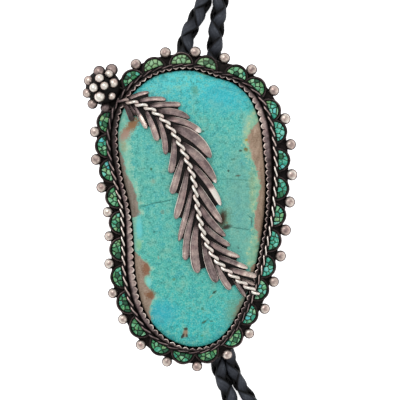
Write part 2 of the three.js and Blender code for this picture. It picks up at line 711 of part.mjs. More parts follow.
function rearClip() {
  const outer = CHANNEL_RADIUS + CLIP_WALL;
  const flange = CLIP_FLANGE_WIDTH / 2;
  const half = Math.PI / 2;
  const outline = new THREE.Shape();
  outline.moveTo(-CLIP_STRAND_X, 0);
  outline.lineTo(CLIP_STRAND_X, 0);
  outline.absarc(CLIP_STRAND_X, CLIP_STRAND_Z, outer, -half, half / 2, false);
  outline.lineTo(flange, CLIP_HEIGHT - CLIP_WALL);
  outline.lineTo(flange, CLIP_HEIGHT);
  outline.lineTo(-flange, CLIP_HEIGHT);
  outline.lineTo(-flange, CLIP_HEIGHT - CLIP_WALL);
  outline.absarc(-CLIP_STRAND_X, CLIP_STRAND_Z, outer, 1.5 * half, 3 * half, false);
  for (const side of [-1, 1]) {
    const channel = new THREE.Path();
    channel.absarc(side * CLIP_STRAND_X, CLIP_STRAND_Z, CHANNEL_RADIUS, 0, 4 * half, true);
    outline.holes.push(channel);
  }
  const clip = new THREE.ExtrudeGeometry(outline, {
    depth: CLIP_LENGTH,
    bevelEnabled: false,
    curveSegments: CLIP_ARC_SEGMENTS,
  });
  clip.rotateX(half);
  clip.translate(0, CLIP_LENGTH / 2, 0);
  return clip;
}

const routeCurve = (route) => new THREE.CatmullRomCurve3(
  route.map(([x, y, z]) => new THREE.Vector3(x, y, z)),
  false,
  'centripetal',
);

function cordTube(route, step) {
  const curve = routeCurve(route);
  curve.arcLengthDivisions = 1200;
  const section = new THREE.Shape(shares(CORD_SIDES).map((turn) => new THREE.Vector2(
    CORD_RADIUS * Math.cos(turn * 2 * Math.PI),
    CORD_RADIUS * Math.sin(turn * 2 * Math.PI),
  )));
  return new THREE.ExtrudeGeometry(section, {
    steps: Math.round(curve.getLength() / step),
    extrudePath: curve,
  });
}

// A tip with a blind socket, lying along its lower edge.
function tip() {
  const mouth = TIP_MOUTH_DIAMETER / 2;
  const end = TIP_END_DIAMETER / 2;
  const socket = CORD_RADIUS + FIT_GAP;
  const profile = [
    [0, TIP_SOCKET],
    [socket, TIP_SOCKET],
    [socket, 0],
    [mouth, 0],
    [mouth, TIP_BARREL],
    [mouth * 0.85, TIP_BARREL + 1],
    [end, TIP_LENGTH - end],
    [end * 0.7, TIP_LENGTH - end * 0.3],
    [0, TIP_LENGTH],
  ];
  return new THREE.LatheGeometry(profile.map(([r, y]) => new THREE.Vector2(r, y)), TIP_SIDES);
}

// The assembly

const bolo = new THREE.Group();

function add(name, geometry, look) {
  const mesh = new THREE.Mesh(geometry, look);
  mesh.name = name;
  bolo.add(mesh);
  return mesh;
}

add('setting', geometryOf(setting()), SILVER);
add('turquoise', turquoise(), TURQUOISE);
filledCells.forEach((cell, place) => {
  const number = String(place + 1).padStart(2, '0');
  add(`inlay_${number}`, inlay(cell), INLAY_GREENS[place % INLAY_GREENS.length]);
});
add('rear_clip', rearClip(), SILVER);
add('neck_loop', cordTube(NECK_ROUTE, NECK_STEP), LEATHER);
for (const [side, route] of Object.entries(TAIL_ROUTES)) {
  add(`tail_${side}`, cordTube(route, TAIL_STEP), LEATHER);
  const end = new THREE.Vector3(...route[route.length - 1]);
  const before = new THREE.Vector3(...route[route.length - 2]);
  const heading = end.clone().sub(before).setZ(0).normalize();
  const droop = (TIP_MOUTH_DIAMETER - TIP_END_DIAMETER) / 2 / TIP_LENGTH;
  const axis = new THREE.Vector3(heading.x, heading.y, -droop).normalize();
  const metal = add(`tip_${side}`, tip(), SILVER);
  metal.quaternion.setFromUnitVectors(new THREE.Vector3(0, 1, 0), axis);
  metal.position.copy(end).addScaledVector(heading, FIT_GAP - TIP_SOCKET);
  metal.position.z = TIP_AXIS_Z;
}

export default bolo;
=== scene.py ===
import bisect
import math
import random

import bpy
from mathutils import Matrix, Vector


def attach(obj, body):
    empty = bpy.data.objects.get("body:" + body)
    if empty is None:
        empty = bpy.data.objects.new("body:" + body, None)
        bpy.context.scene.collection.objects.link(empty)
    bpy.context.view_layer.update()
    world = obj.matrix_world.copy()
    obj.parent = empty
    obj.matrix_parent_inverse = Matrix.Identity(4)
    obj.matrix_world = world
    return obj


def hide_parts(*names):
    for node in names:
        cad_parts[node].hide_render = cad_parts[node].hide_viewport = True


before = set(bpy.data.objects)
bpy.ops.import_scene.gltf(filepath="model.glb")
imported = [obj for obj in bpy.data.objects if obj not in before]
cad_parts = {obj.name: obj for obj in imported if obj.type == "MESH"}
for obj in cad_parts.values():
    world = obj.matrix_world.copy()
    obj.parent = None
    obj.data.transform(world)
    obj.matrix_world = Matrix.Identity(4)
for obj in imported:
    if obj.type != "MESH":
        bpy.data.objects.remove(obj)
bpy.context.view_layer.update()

# A bolo tie lying on its back: a turquoise cabochon set in silver, with chip inlay round it and a silver
# feather over it, on a braided leather cord. Everything is worked out in millimetres in the CAD's frame, and
# turned into metres where a mesh is made.
MM = 0.001
TAU = 2 * math.pi

# Sizes shared with the solids. Heights count from the table.
FIT_GAP = 0.3
STONE_WIDTH, STONE_LENGTH = 44.6, 82.8  # of its visible part
STONE_MIDDLE = Vector((-2.6, -2.7))
STONE_UNDER_BEZEL = 0.5  # how far the stone goes on outside its visible edge
DOME_OUTSIDE = 0.05  # how far outside that edge its dome starts
DOME_HEIGHT = 4.6
PLATE_UNDER, PLATE_TOP = 6.5, 7.5
STONE_UNDER, DOME_START = 7.8, 9.3
CELL_TOP, TEETH_TOP = 9.5, 10.9
RIM_REACH = 5.2  # from the stone's visible edge to the cells' line, where that is widest
BEZEL_SHARE = 0.4  # of that reach
CELL_COUNT, CELL_START = 29, -0.0864
CELL_APART, CELL_WALL = 0.5, 0.55
CELL_OUTER, CELL_INNER = 1.8, 1.5  # how far a half-moon reaches outside and inside the cells' line
BEAD_DIAMETER, BEAD_LIFT = 3.3, 0.7
BERRY_RADIUS, BERRY_BASE_RADIUS, BERRY_BASE_HEIGHT = 6.6, 5.3, 4.1
BLADE_WIDTH, BLADE_RIDGE = 2.7, 0.9

# The stone's visible edge, clockwise from the top: shares of its half width and half length, and the rim's
# local reach as a share of RIM_REACH.
STONE_EDGE = [
    (0.02, 1.0, 0.64), (0.29, 0.955, 0.68), (0.57, 0.905, 0.72), (0.8, 0.8, 0.82), (0.93, 0.64, 0.93),
    (0.985, 0.43, 1.0), (1.0, 0.25, 0.98), (0.975, -0.02, 0.88), (0.915, -0.26, 0.78), (0.85, -0.445, 0.73),
    (0.72, -0.67, 0.66), (0.5, -0.88, 0.6), (0.3, -0.97, 0.58), (0.04, -1.0, 0.63), (-0.24, -0.96, 0.7),
    (-0.49, -0.855, 0.84), (-0.66, -0.71, 0.9), (-0.76, -0.51, 0.95), (-0.79, -0.26, 0.92),
    (-0.82, 0.0, 0.87), (-0.91, 0.21, 0.85), (-0.985, 0.41, 0.87), (-0.995, 0.57, 0.84),
    (-0.915, 0.73, 0.81), (-0.73, 0.87, 0.76), (-0.42, 0.975, 0.68),
]
# How far each cell is shifted along the rim, as a share of their pitch.
CELL_SHIFTS = [
    0.0, -0.04, 0.03, 0.01, 0.19, 0.07, 0.13, -0.02, 0.06, 0.13, 0.13, 0.09, 0.08, -0.01, 0.0,
    0.04, 0.22, 0.18, 0.11, 0.18, 0.24, 0.24, 0.27, 0.26, 0.2, 0.19, 0.15, 0.07, 0.07,
]
HIDDEN_CELL = 28  # under the berry cluster
# The bead after each cell: how far it is shifted along the rim as a share of the cells' pitch, and how far it
# stands outside the cells' middles.
BEADS = [
    (-0.05, 2.3), (0.0, 2.55), (0.0, 2.45), (0.0, 2.9), (-0.05, 2.7), (-0.03, 2.75), (0.04, 2.4), (0.0, 2.75),
    (0.0, 2.75), (-0.05, 2.75), (0.0, 2.75), (0.0, 2.85), (0.0, 2.7), (0.05, 2.9), (0.05, 2.4), (-0.04, 2.1),
    (-0.05, 2.55), (0.0, 2.75), (0.04, 2.45), (0.03, 2.15), (-0.03, 2.35), (0.0, 2.3), (0.0, 2.15),
    (-0.04, 2.3), (-0.03, 2.55), (0.03, 2.3), (0.05, 2.25),
]
BERRY_PLACE = (-1.188, 0.884)  # the cluster's middle, in shares of the stone's half sizes
# The berry cluster's beads: place and height in shares of BERRY_RADIUS, size in shares of BEAD_DIAMETER,
# and how bright they are; the lower ones are duller. Some outer ones lie a little further in than in the
# solids.
BERRIES = [
    (0.07, 0.04, 0.76, 0.79, 0.95), (-0.15, 0.38, 0.7, 0.82, 1.0), (-0.41, -0.04, 0.7, 0.82, 1.05),
    (-0.14, -0.45, 0.64, 1.0, 1.0), (0.41, -0.42, 0.55, 0.73, 0.85), (0.48, 0.17, 0.56, 0.88, 0.9),
    (0.28, 0.59, 0.5, 0.79, 0.95), (-0.17, 0.7, 0.3, 1.03, 0.66), (0.39, 0.78, 0.26, 1.06, 0.6),
    (-0.64, 0.29, 0.3, 0.88, 0.8), (-0.71, -0.27, 0.26, 0.85, 0.74), (-0.48, -0.76, 0.24, 0.88, 0.7),
    (0.11, -0.94, 0.2, 0.85, 0.5),
]
# The feather's stem, in shares of the stone's half sizes.
STEM = [
    (-0.99, 0.79), (-0.8, 0.773), (-0.545, 0.721), (-0.329, 0.621), (-0.176, 0.493), (-0.061, 0.359),
    (0.028, 0.218), (0.064, 0.079), (0.114, -0.075), (0.189, -0.223), (0.322, -0.358), (0.523, -0.466),
    (0.726, -0.551), (0.91, -0.62),
]
# The feather's blades: share of the stem where each leaves it, its tip in shares of the stone's half sizes,
# its bow to the left as a share of its length, its width as a share of BLADE_WIDTH, the share of its length
# that rounds off its end, how much brighter its end is with a painted glint, and from which share of its
# length.
UPPER_BLADES = [
    (0.03, -0.57, 0.846, 0.06, 0.46, 0.3, 0.0, 0.8), (0.07, -0.34, 0.791, 0.08, 0.5, 0.2, 0.1, 0.8),
    (0.115, -0.142, 0.755, 0.04, 0.58, 0.12, 0.15, 0.85), (0.155, -0.025, 0.656, 0.1, 0.76, 0.4, 0.0, 0.8),
    (0.195, 0.13, 0.554, 0.1, 0.7, 0.15, 0.7, 0.88), (0.235, 0.262, 0.37, 0.12, 1.24, 0.5, 0.1, 0.6),
    (0.305, 0.332, 0.188, 0.075, 1.06, 0.55, 0.6, 0.94), (0.385, 0.396, 0.025, 0.06, 0.72, 0.3, 0.5, 0.64),
    (0.46, 0.41, -0.098, -0.01, 0.84, 0.4, 0.12, 0.7), (0.54, 0.459, -0.196, -0.05, 0.8, 0.4, 0.05, 0.7),
    (0.625, 0.52, -0.264, -0.05, 0.64, 0.2, 0.05, 0.8), (0.69, 0.652, -0.346, -0.06, 0.64, 0.3, 0.15, 0.7),
    (0.76, 0.762, -0.428, 0.0, 0.58, 0.25, 0.25, 0.7), (0.83, 0.876, -0.488, 0.0, 0.64, 0.15, 0.2, 0.55),
    (0.89, 0.853, -0.547, 0.02, 0.46, 0.2, 0.1, 0.5),
]
LOWER_BLADES = [
    (0.015, -0.798, 0.638, 0.06, 0.66, 0.15, -0.25, 0.2), (0.035, -0.728, 0.674, 0.0, 0.35, 0.3, -0.2, 0.2),
    (0.058, -0.599, 0.581, 0.0, 0.54, 0.14, 0.2, 0.5), (0.105, -0.454, 0.493, 0.02, 0.7, 0.15, 0.15, 0.6),
    (0.15, -0.344, 0.393, 0.07, 0.68, 0.2, 0.0, 0.7), (0.26, -0.28, 0.259, 0.05, 0.78, 0.12, 0.05, 0.7),
    (0.35, -0.26, 0.11, 0.0, 0.84, 0.14, 0.12, 0.6), (0.395, -0.212, -0.072, 0.02, 0.88, 0.24, 0.1, 0.6),
    (0.46, -0.169, -0.232, 0.015, 0.66, 0.26, 0.08, 0.6), (0.55, -0.077, -0.37, -0.05, 0.76, 0.12, 0.05, 0.6),
    (0.61, 0.092, -0.462, -0.085, 1.04, 0.2, 0.0, 0.6),
    (0.672, 0.345, -0.529, -0.055, 0.98, 0.18, -0.05, 0.6),
    (0.77, 0.527, -0.582, -0.05, 0.74, 0.15, 0.1, 0.6), (0.86, 0.728, -0.636, 0.0, 0.48, 0.2, 0.05, 0.6),
]
# The cord's routes, as the solids have them.
NECK_ROUTE = [
    (-2.8, 0.15, 3.1), (-2.8, 11, 3.1), (-3.4, 21, 2.5), (-4.4, 33, 2), (-5, 44, 2), (-3.9, 49, 2),
    (-1.7, 54, 2), (1.2, 60, 2), (2.4, 66, 2), (0.6, 73, 2), (-9, 85, 2), (-29, 99, 2), (-56, 118, 2),
    (-78, 145, 2), (-87, 179, 2), (-79, 214, 2), (-56, 241, 2), (-22, 259, 2), (17, 262, 2), (53, 251, 2),
    (82, 225, 2), (95, 191, 2), (91, 155, 2), (70, 123, 2), (41, 102, 2), (20, 88, 2), (9.2, 74, 2),
    (6.6, 62, 2), (5.3, 54, 2), (4.4, 46, 2), (3.8, 33, 2), (3.2, 21, 2.5), (2.8, 11, 3.1), (2.8, 0.15, 3.1),
]
TAIL_ROUTES = {
    "left": [
        (-2.8, -0.15, 3.1), (-2.8, -11, 3.1), (-1.7, -20, 2.5), (0.6, -30, 2), (2.9, -40, 2),
        (4.9, -48.5, 2), (5.9, -52, 2.2), (7.4, -56, 2.6), (9.1, -60, 2.9), (11, -64.3, 2.85),
        (12.7, -68, 2.65),
    ],
    "right": [
        (2.8, -0.15, 3.1), (2.8, -11, 3.1), (3.6, -20, 2.5), (5.4, -30, 2), (7.5, -40, 2),
        (9.5, -48.5, 2), (10.7, -52, 2.2), (12.6, -56, 2.6), (15, -60, 2.9), (17.8, -64, 2.85),
        (20.3, -67.3, 2.65),
    ],
}


# ---- small helpers


UP = Vector((0, 0, 1))


def smooth(low, high, x):
    """0 below low, 1 above high, and an S curve between. It falls where low is the larger."""
    t = max(0.0, min(1.0, (x - low) / (high - low)))
    return t * t * (3 - 2 * t)


def mixed(a, b, share):
    return a + (b - a) * share


def shares(count):
    return [i / count for i in range(count)]


def read_off(rows, x, column):
    """A column's value at x, straight from row to row. The rows start with x."""
    for one, two in zip(rows, rows[1:]):
        if x <= two[0]:
            break
    return mixed(one[column], two[column], (x - one[0]) / (two[0] - one[0]))


def sides(corners):
    """Each corner with the next one, round to the first."""
    return zip(corners, corners[1:] + corners[:1])


def cross_axes(heading):
    """The level direction across a heading, and the one that is square to both."""
    side = heading.cross(UP).normalized()
    return side, side.cross(heading)


def spot(p, t):
    """The point at t on the centripetal spline span from p[1] to p[2]."""
    gaps = [max((b - a).length, 1e-9) ** 0.5 for a, b in zip(p, p[1:])]
    start = (p[1] - p[0]) / gaps[0] - (p[2] - p[0]) / (gaps[0] + gaps[1]) + (p[2] - p[1]) / gaps[1]
    end = (p[2] - p[1]) / gaps[1] - (p[3] - p[1]) / (gaps[1] + gaps[2]) + (p[3] - p[2]) / gaps[2]
    start, end = start * gaps[1], end * gaps[1]
    second = -3 * p[1] + 3 * p[2] - 2 * start - end
    third = 2 * p[1] - 2 * p[2] + start + end
    return p[1] + start * t + second * (t * t) + third * (t * t * t)


class Line:
    """A smooth line through points, walked by its own length."""

    def __init__(self, points, closed=False, steps=30):
        points = [Vector(p) for p in points]
        count = len(points)
        self.closed = closed
        self.places = []
        for i in range(count if closed else count - 1):
            if closed:
                four = [points[(i + k) % count] for k in (-1, 0, 1, 2)]
            else:
                before = points[i - 1] if i else 2 * points[0] - points[1]
                after = points[i + 2] if i + 2 < count else 2 * points[-1] - points[-2]
                four = [before, points[i], points[i + 1], after]
            self.places += [spot(four, step / steps) for step in range(steps)]
        self.places.append(points[0] if closed else points[-1])
        self.reached = [0.0]
        for a, b in zip(self.places, self.places[1:]):
            self.reached.append(self.reached[-1] + (b - a).length)
        self.length = self.reached[-1]
        last = len(self.places) - 1
        self.headings = []
        for i in range(last + 1):
            if closed:
                a, b = self.places[(i - 1) % last], self.places[(i + 1) % last]
            else:
                a, b = self.places[max(0, i - 1)], self.places[min(last, i + 1)]
            self.headings.append((b - a).normalized())

    def at(self, share):
        """(place, heading) at a share of the length."""
        share = share % 1.0 if self.closed else max(0.0, min(1.0, share))
        goal = share * self.length
        i = min(max(bisect.bisect(self.reached, goal) - 1, 0), len(self.places) - 2)
        part = (goal - self.reached[i]) / max(self.reached[i + 1] - self.reached[i], 1e-9)
        place = self.places[i].lerp(self.places[i + 1], part)
        return place, self.headings[i].lerp(self.headings[i + 1], part).normalized()


class Form:
    """A mesh in the making, of closed skins. A point is (x, y, z, value)."""

    def __init__(self):
        self.points, self.faces = [], []

    def loft(self, rings, hoop=False):
        """A closed skin through rings of points. The faces point out whichever way the rings run."""
        count = len(rings[0])
        points = [tuple(p) for ring in rings for p in ring]
        faces = []
        spans = len(rings) if hoop else len(rings) - 1
        for i in range(spans):
            here, ahead = i * count, (i + 1) % len(rings) * count
            for j in range(count):
                k = (j + 1) % count
                faces.append((here + j, here + k, ahead + k, ahead + j))
        if not hoop:
            for ring, start, step in ((rings[0], 0, -1), (rings[-1], len(points) - count, 1)):
                middle = len(points)
                points.append(tuple(sum(p[axis] for p in ring) / count for axis in range(4)))
                for j in range(count):
                    pair = (start + j, start + (j + 1) % count)
                    faces.append((middle, *pair[::step]))
        volume = 0.0
        for face in faces:
            a = points[face[0]]
            for one, two in zip(face[1:], face[2:]):
                b, c = points[one], points[two]
                volume += (a[0] * (b[1] * c[2] - b[2] * c[1]) - a[1] * (b[0] * c[2] - b[2] * c[0])
                           + a[2] * (b[0] * c[1] - b[1] * c[0]))
        if volume < 0:
            faces = [face[::-1] for face in faces]
        first = len(self.points)
        self.points += points
        self.faces += [tuple(first + i for i in face) for face in faces]


def add_object(name, data):
    made = bpy.data.objects.new(name, data)
    bpy.context.scene.collection.objects.link(made)
    return made


def piece(name, form, paint, slot, *nodes, crease=40):
    """The form as an object that replaces the nodes, with its values kept for the paint; on silver and leather
    they hold painted highlights and painted shade as well as tone.
    """
    mesh = bpy.data.meshes.new(name)
    mesh.from_pydata([(p[0] * MM, p[1] * MM, p[2] * MM) for p in form.points], [], form.faces)
    tone_and_light = mesh.attributes.new("tone_and_light", "FLOAT", "POINT")
    tone_and_light.data.foreach_set("value", [p[3] for p in form.points])
    mesh.materials.append(paint)
    mesh.polygons.foreach_set("use_smooth", [True] * len(mesh.polygons))
    mesh.set_sharp_from_angle(angle=math.radians(crease))
    made = add_object(name, mesh)
    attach(made, "root")
    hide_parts(*nodes)
    return made


# ---- paints

LIGHT = 1.56  # how bright a white face shows that is turned up to the light


def tint(code):
    """The base colour, in linear numbers, that shows as a hex code on a face turned up to the light."""
    parts = [int(code[i:i + 2], 16) / 255 for i in (0, 2, 4)]
    linear = [c / 12.92 if c <= 0.04045 else ((c + 0.055) / 1.055) ** 2.4 for c in parts]
    return (*[c / LIGHT for c in linear], 1.0)


class Paint:
    """A material's nodes, made by nested calls."""

    def __init__(self, name):
        self.material = bpy.data.materials.new(name)
        self.material.use_nodes = True
        self.tree = self.material.node_tree
        self.tree.nodes.clear()
        self.mm = self.scaled(self.node("TexCoord").outputs["Object"], (1000, 1000, 1000))
        # The points' values: tone and wear, and on silver and leather painted highlights and painted shade too.
        self.tone_and_light = self.node("Attribute", attribute_name="tone_and_light").outputs["Fac"]

    def node(self, kind, inputs=None, **settings):
        made = self.tree.nodes.new("ShaderNode" + kind)
        for key, value in settings.items():
            setattr(made, key, value)
        for key, value in (inputs or {}).items():
            if isinstance(value, bpy.types.NodeSocket):
                self.tree.links.new(value, made.inputs[key])
            else:
                made.inputs[key].default_value = value
        return made

    def math(self, operation, a, b=0.0, c=0.0, clamp=False):
        made = self.node("Math", {0: a, 1: b, 2: c}, operation=operation, use_clamp=clamp)
        return made.outputs[0]

    def step(self, x, low, high, start=0.0, end=1.0):
        """x from low to high as start to end, in an S curve."""
        inputs = {"Value": x, "From Min": low, "From Max": high, "To Min": start, "To Max": end}
        return self.node("MapRange", inputs, interpolation_type="SMOOTHSTEP").outputs[0]

    def stir(self, x, noise, amount):
        """x with a noise added that goes half the amount up and down."""
        return self.math("ADD", x, self.math("MULTIPLY_ADD", noise, amount, -amount / 2))

    def scaled(self, where, factors):
        return self.node("VectorMath", {0: where, 1: factors}, operation="MULTIPLY").outputs[0]

    def mix(self, share, a, b, blend="MIX"):
        made = self.node("Mix", {0: share, 6: a, 7: b}, data_type="RGBA", blend_type=blend)
        return made.outputs[2]

    def dab(self, colour, code, x, low, high, strength):
        """The colour, with another over it that comes on as x goes from low to high."""
        return self.mix(self.step(x, low, high, 0.0, strength), colour, tint(code))

    def ramp(self, x, stops):
        """x as a colour. A stop is a place, and a hex code or a grey from 0 to 1."""
        made = self.node("ValToRGB", {"Fac": x})
        stops = [(place, tint(shown) if isinstance(shown, str) else (shown, shown, shown, 1))
                 for place, shown in stops]
        made.color_ramp.elements[0].position, made.color_ramp.elements[0].color = stops[0]
        made.color_ramp.elements[1].position, made.color_ramp.elements[1].color = stops[-1]
        for position, colour in stops[1:-1]:
            made.color_ramp.elements.new(position).color = colour
        return made.outputs["Color"]

    def noise(self, size, detail=3.0, rough=0.55, where=None):
        """Smooth noise round 0.5, whose lumps are about size millimetres wide."""
        inputs = {"Vector": where or self.mm, "Scale": 1 / size, "Detail": detail, "Roughness": rough}
        return self.node("TexNoise", inputs).outputs["Fac"]

    def hollow(self, distance, samples=6):
        """Low in corners and hollows, 1 in the open."""
        return self.node("AmbientOcclusion", {"Distance": distance * MM}, samples=samples).outputs["AO"]

    def bump(self, height, strength, distance, under=None):
        inputs = {"Height": height, "Strength": strength, "Distance": distance * MM}
        if under:
            inputs["Normal"] = under
        return self.node("Bump", inputs).outputs["Normal"]

    def finish(self, **inputs):
        named = {key.replace("_", " "): value for key, value in inputs.items()}
        shader = self.node("BsdfPrincipled", named)
        self.node("OutputMaterial", {"Surface": shader.outputs[0]})
        return self.material


def silver(name, low=0.0, high=1.0):
    """Old silver: black in its recesses, dull pinkish grey on its faces, and bright where it is rubbed and
    where its values hold a painted highlight; low values also stand for painted shade.
    """
    paint = Paint(name)
    # The points' values hold wear and painted light and shade; noise adds tarnish, and the hollows go dark as
    # patina.
    wear_and_light = paint.math("MULTIPLY_ADD", paint.tone_and_light, high - low, low)
    wear_and_light = paint.stir(wear_and_light, paint.noise(1.9, 4.0), 0.6)
    wear_and_light = paint.stir(wear_and_light, paint.noise(0.32, 3.0), 0.26)
    wear_and_light = paint.math("MULTIPLY", wear_and_light, paint.step(paint.hollow(0.6), 0.1, 0.7, 0.2, 1.0), clamp=True)
    colour = paint.ramp(wear_and_light, [
        (0.0, "080606"), (0.18, "221b18"), (0.36, "554848"), (0.54, "8b7b7a"), (0.72, "bca8a0"),
        (0.86, "e8d8cc"), (1.0, "fffaf0"),
    ])
    pink = paint.step(paint.noise(2.2, 2.0), 0.5, 0.66, 0.0, 0.6)
    colour = paint.mix(pink, colour, (1.0, 0.86, 0.89, 1), "MULTIPLY")
    scratches = paint.noise(0.12, 2.0, where=paint.scaled(paint.mm, (0.35, 1.0, 1.0)))
    relief = paint.bump(scratches, 0.22, 0.03)
    relief = paint.bump(paint.noise(0.7, 3.0), 0.3, 0.08, relief)
    return paint.finish(
        Base_Color=colour,
        Metallic=paint.step(wear_and_light, 0.1, 0.5, 0.4, 1.0),
        Roughness=paint.step(wear_and_light, 0.1, 0.95, 0.6, 0.38),
        Specular_IOR_Level=0.2,
        Normal=relief,
    )


def leather():
    """Black braided leather, with a soft sheen painted along its strands and painted shade in its creases."""
    paint = Paint("black_leather")
    cells = {"Vector": paint.mm, "Scale": 3.6, "Randomness": 1.0}
    grain = paint.node("TexVoronoi", cells).outputs["Distance"]
    blotch = paint.noise(2.2, 3.0)
    streak = paint.noise(0.5, 2.0)
    shade = paint.stir(paint.stir(paint.tone_and_light, blotch, 0.4), streak, 0.3)
    # Painted shade in the braid's creases.
    shade = paint.math("MULTIPLY", shade, paint.step(paint.hollow(0.8), 0.2, 0.8, 0.1, 1.0), clamp=True)
    colour = paint.ramp(shade, [
        (0.0, "040405"), (0.2, "0e0f12"), (0.45, "292c33"), (0.7, "40444c"), (0.85, "5c6068"), (1.0, "777b82"),
    ])
    relief = paint.bump(grain, 0.35, 0.05)
    relief = paint.bump(streak, 0.35, 0.08, relief)
    return paint.finish(
        Base_Color=colour,
        Roughness=paint.step(blotch, 0.3, 0.7, 0.42, 0.56),
        Specular_IOR_Level=0.1,
        Normal=relief,
    )


# ---- camera, made first

camera = add_object("camera", bpy.data.cameras.new("camera"))
bpy.context.scene.camera = camera
CAMERA_HEIGHT, FACE_HEIGHT, VIEW_WIDTH = 1.2, 0.010, 0.120  # in metres
camera.location = (0, 0, CAMERA_HEIGHT)
camera.data.lens = camera.data.sensor_width * (CAMERA_HEIGHT - FACE_HEIGHT) / VIEW_WIDTH
camera.data.clip_start = 0.05
bpy.context.scene.view_settings.view_transform = "Standard"

# ---- cords, made next

BRAID_TURN = 18.0  # length in which a strand goes once round
BRAID_RADIUS = 1.42  # of the cylinder that the strands' middles wind on
BRAID_WEAVE = 0.33  # how far a strand goes out and in as it crosses the others
BRAID_WIDE, BRAID_FLAT = 1.2, 0.92  # the braid's width and height as shares of a round one's
STRAND_HALF, STRAND_THICK = 1.62, 0.34  # half its width and half its thickness
# The strand's shine is a painted sheen in its colour, brighter where it lies on top.
STRAND_SHINE, CROSSING_SHINE = 0.66, 0.42  # how bright it is, and how much brighter where it lies on top
# Across a strand: place in shares of its half width, height in shares of its half thickness, and shine.
STRAND_SECTION = [
    (-1.0, -0.3, 0.0), (-0.98, 0.5, 0.0), (-0.88, 0.85, 0.0), (-0.78, 0.97, 0.26), (-0.66, 1.0, 0.62),
    (-0.5, 1.0, 0.68), (-0.3, 1.0, 0.62), (-0.1, 1.02, 0.7), (0.1, 1.0, 0.6), (0.35, 1.0, 0.56),
    (0.53, 1.0, 0.4), (0.66, 0.95, 0.1), (0.76, 0.85, 0.0), (1.0, 0.2, 0.0), (1.0, -0.4, 0.0),
    (0.4, -0.9, 0.0), (-0.4, -0.9, 0.0),
]
# The tails press on each other below the slide: each one's width as a share of a round one's, and how far
# it is pushed sideways there. The push comes and goes over two stretches of the tail.
TAIL_SQUEEZE = {"left": (1.14, -0.25), "right": (1.0, 0.35)}
PUSH_COMES, PUSH_GOES = (20, 40), (62, 56)
ROUND_CREASE = 75  # degrees, for wires and strands that are round all over


def braid(route, step, start=0.0, wide=BRAID_WIDE, push=0.0):
    """Four flat strands braided round the route: two wind one way, two the other. start is how far along
    its turn the braid begins."""
    line = Line(route)
    form = Form()
    rate = TAU / BRAID_TURN
    slope = math.atan(BRAID_RADIUS * rate)
    stations = round(line.length / step)
    for strand in range(4):
        way = 1 if strand < 2 else -1
        phase = (strand % 2) * math.pi + (0 if way > 0 else math.pi / 2)
        rings = []
        for i in range(stations + 1):
            s = i * line.length / stations
            along = s + start
            weave = way * math.sin(2 * rate * along)
            ring = []
            for across, thick, value in STRAND_SECTION:
                v = -way * across * STRAND_HALF
                here = min(max(s - way * v * math.sin(slope), 0.0), line.length)
                place, heading = line.at(here / line.length)
                side, up = cross_axes(heading)
                angle = way * rate * along + phase + v * math.cos(slope) / BRAID_RADIUS
                radius = BRAID_RADIUS + weave * BRAID_WEAVE + thick * STRAND_THICK
                out = side * math.cos(angle) * wide + up * math.sin(angle) * BRAID_FLAT
                pushed = push * smooth(*PUSH_COMES, here) * smooth(*PUSH_GOES, here)
                place = place + out * radius + side * pushed
                ring.append((*place, value * (STRAND_SHINE + CROSSING_SHINE * weave)))
            rings.append(ring)
        form.loft(rings)
    return line, form


LEATHER = leather()
neck_form = braid(NECK_ROUTE, step=0.85)[1]
piece("braided_neck_loop", neck_form, LEATHER, "braided_leather", "neck_loop", crease=ROUND_CREASE)

TIP_METAL = silver("tip_silver", 0.1, 0.95)
# The tip's length, the heights of its two ends' middles, and how far the cord goes into it.
TIP_LENGTH, TIP_MOUTH, TIP_END, TIP_SOCKET = 38.0, 2.9, 1.2, 6.0
# A tip from its mouth: radius, distance along it, and how bright it is rubbed.
TIP_PROFILE = [
    (0.0, 6.0, 0.0), (2.3, 6.0, 0.0), (2.3, 0.3, 0.1), (2.45, 0.0, 0.5), (2.75, 0.0, 0.8), (2.9, 0.2, 0.9),
    (2.9, 0.9, 0.85), (2.75, 1.1, 0.2), (2.62, 1.3, 0.05), (2.62, 1.5, 0.05), (2.8, 1.7, 0.75),
    (2.8, 2.3, 0.8), (2.62, 2.5, 0.05), (2.62, 2.7, 0.05), (2.78, 2.95, 0.6), (2.78, 9.4, 0.62),
    (2.62, 9.6, 0.1), (2.62, 9.8, 0.05), (2.86, 10.0, 0.85), (2.86, 10.7, 0.9), (2.6, 10.95, 0.1),
    (2.5, 11.2, 0.2), (2.46, 12.0, 0.6), (2.1, 19.0, 0.65), (1.72, 27.0, 0.68), (1.32, 35.3, 0.7),
    (1.05, 35.6, 0.1), (1.05, 35.8, 0.1), (1.3, 36.2, 0.85), (1.35, 36.7, 0.95), (1.2, 37.3, 0.95),
    (0.8, 37.8, 0.95), (0.0, 38.0, 0.95),
]


def revolve(form, profile, origin, axis, corners):
    """A turned form: profile rows are radius, distance along the axis, and value."""
    one = axis.orthogonal().normalized()
    two = axis.cross(one)
    rings = []
    for radius, along, value in profile:
        ring = []
        for turn in shares(corners):
            out = one * math.cos(turn * TAU) + two * math.sin(turn * TAU)
            ring.append((*(origin + axis * along + out * max(radius, 0.001)), value))
        rings.append(ring)
    form.loft(rings)


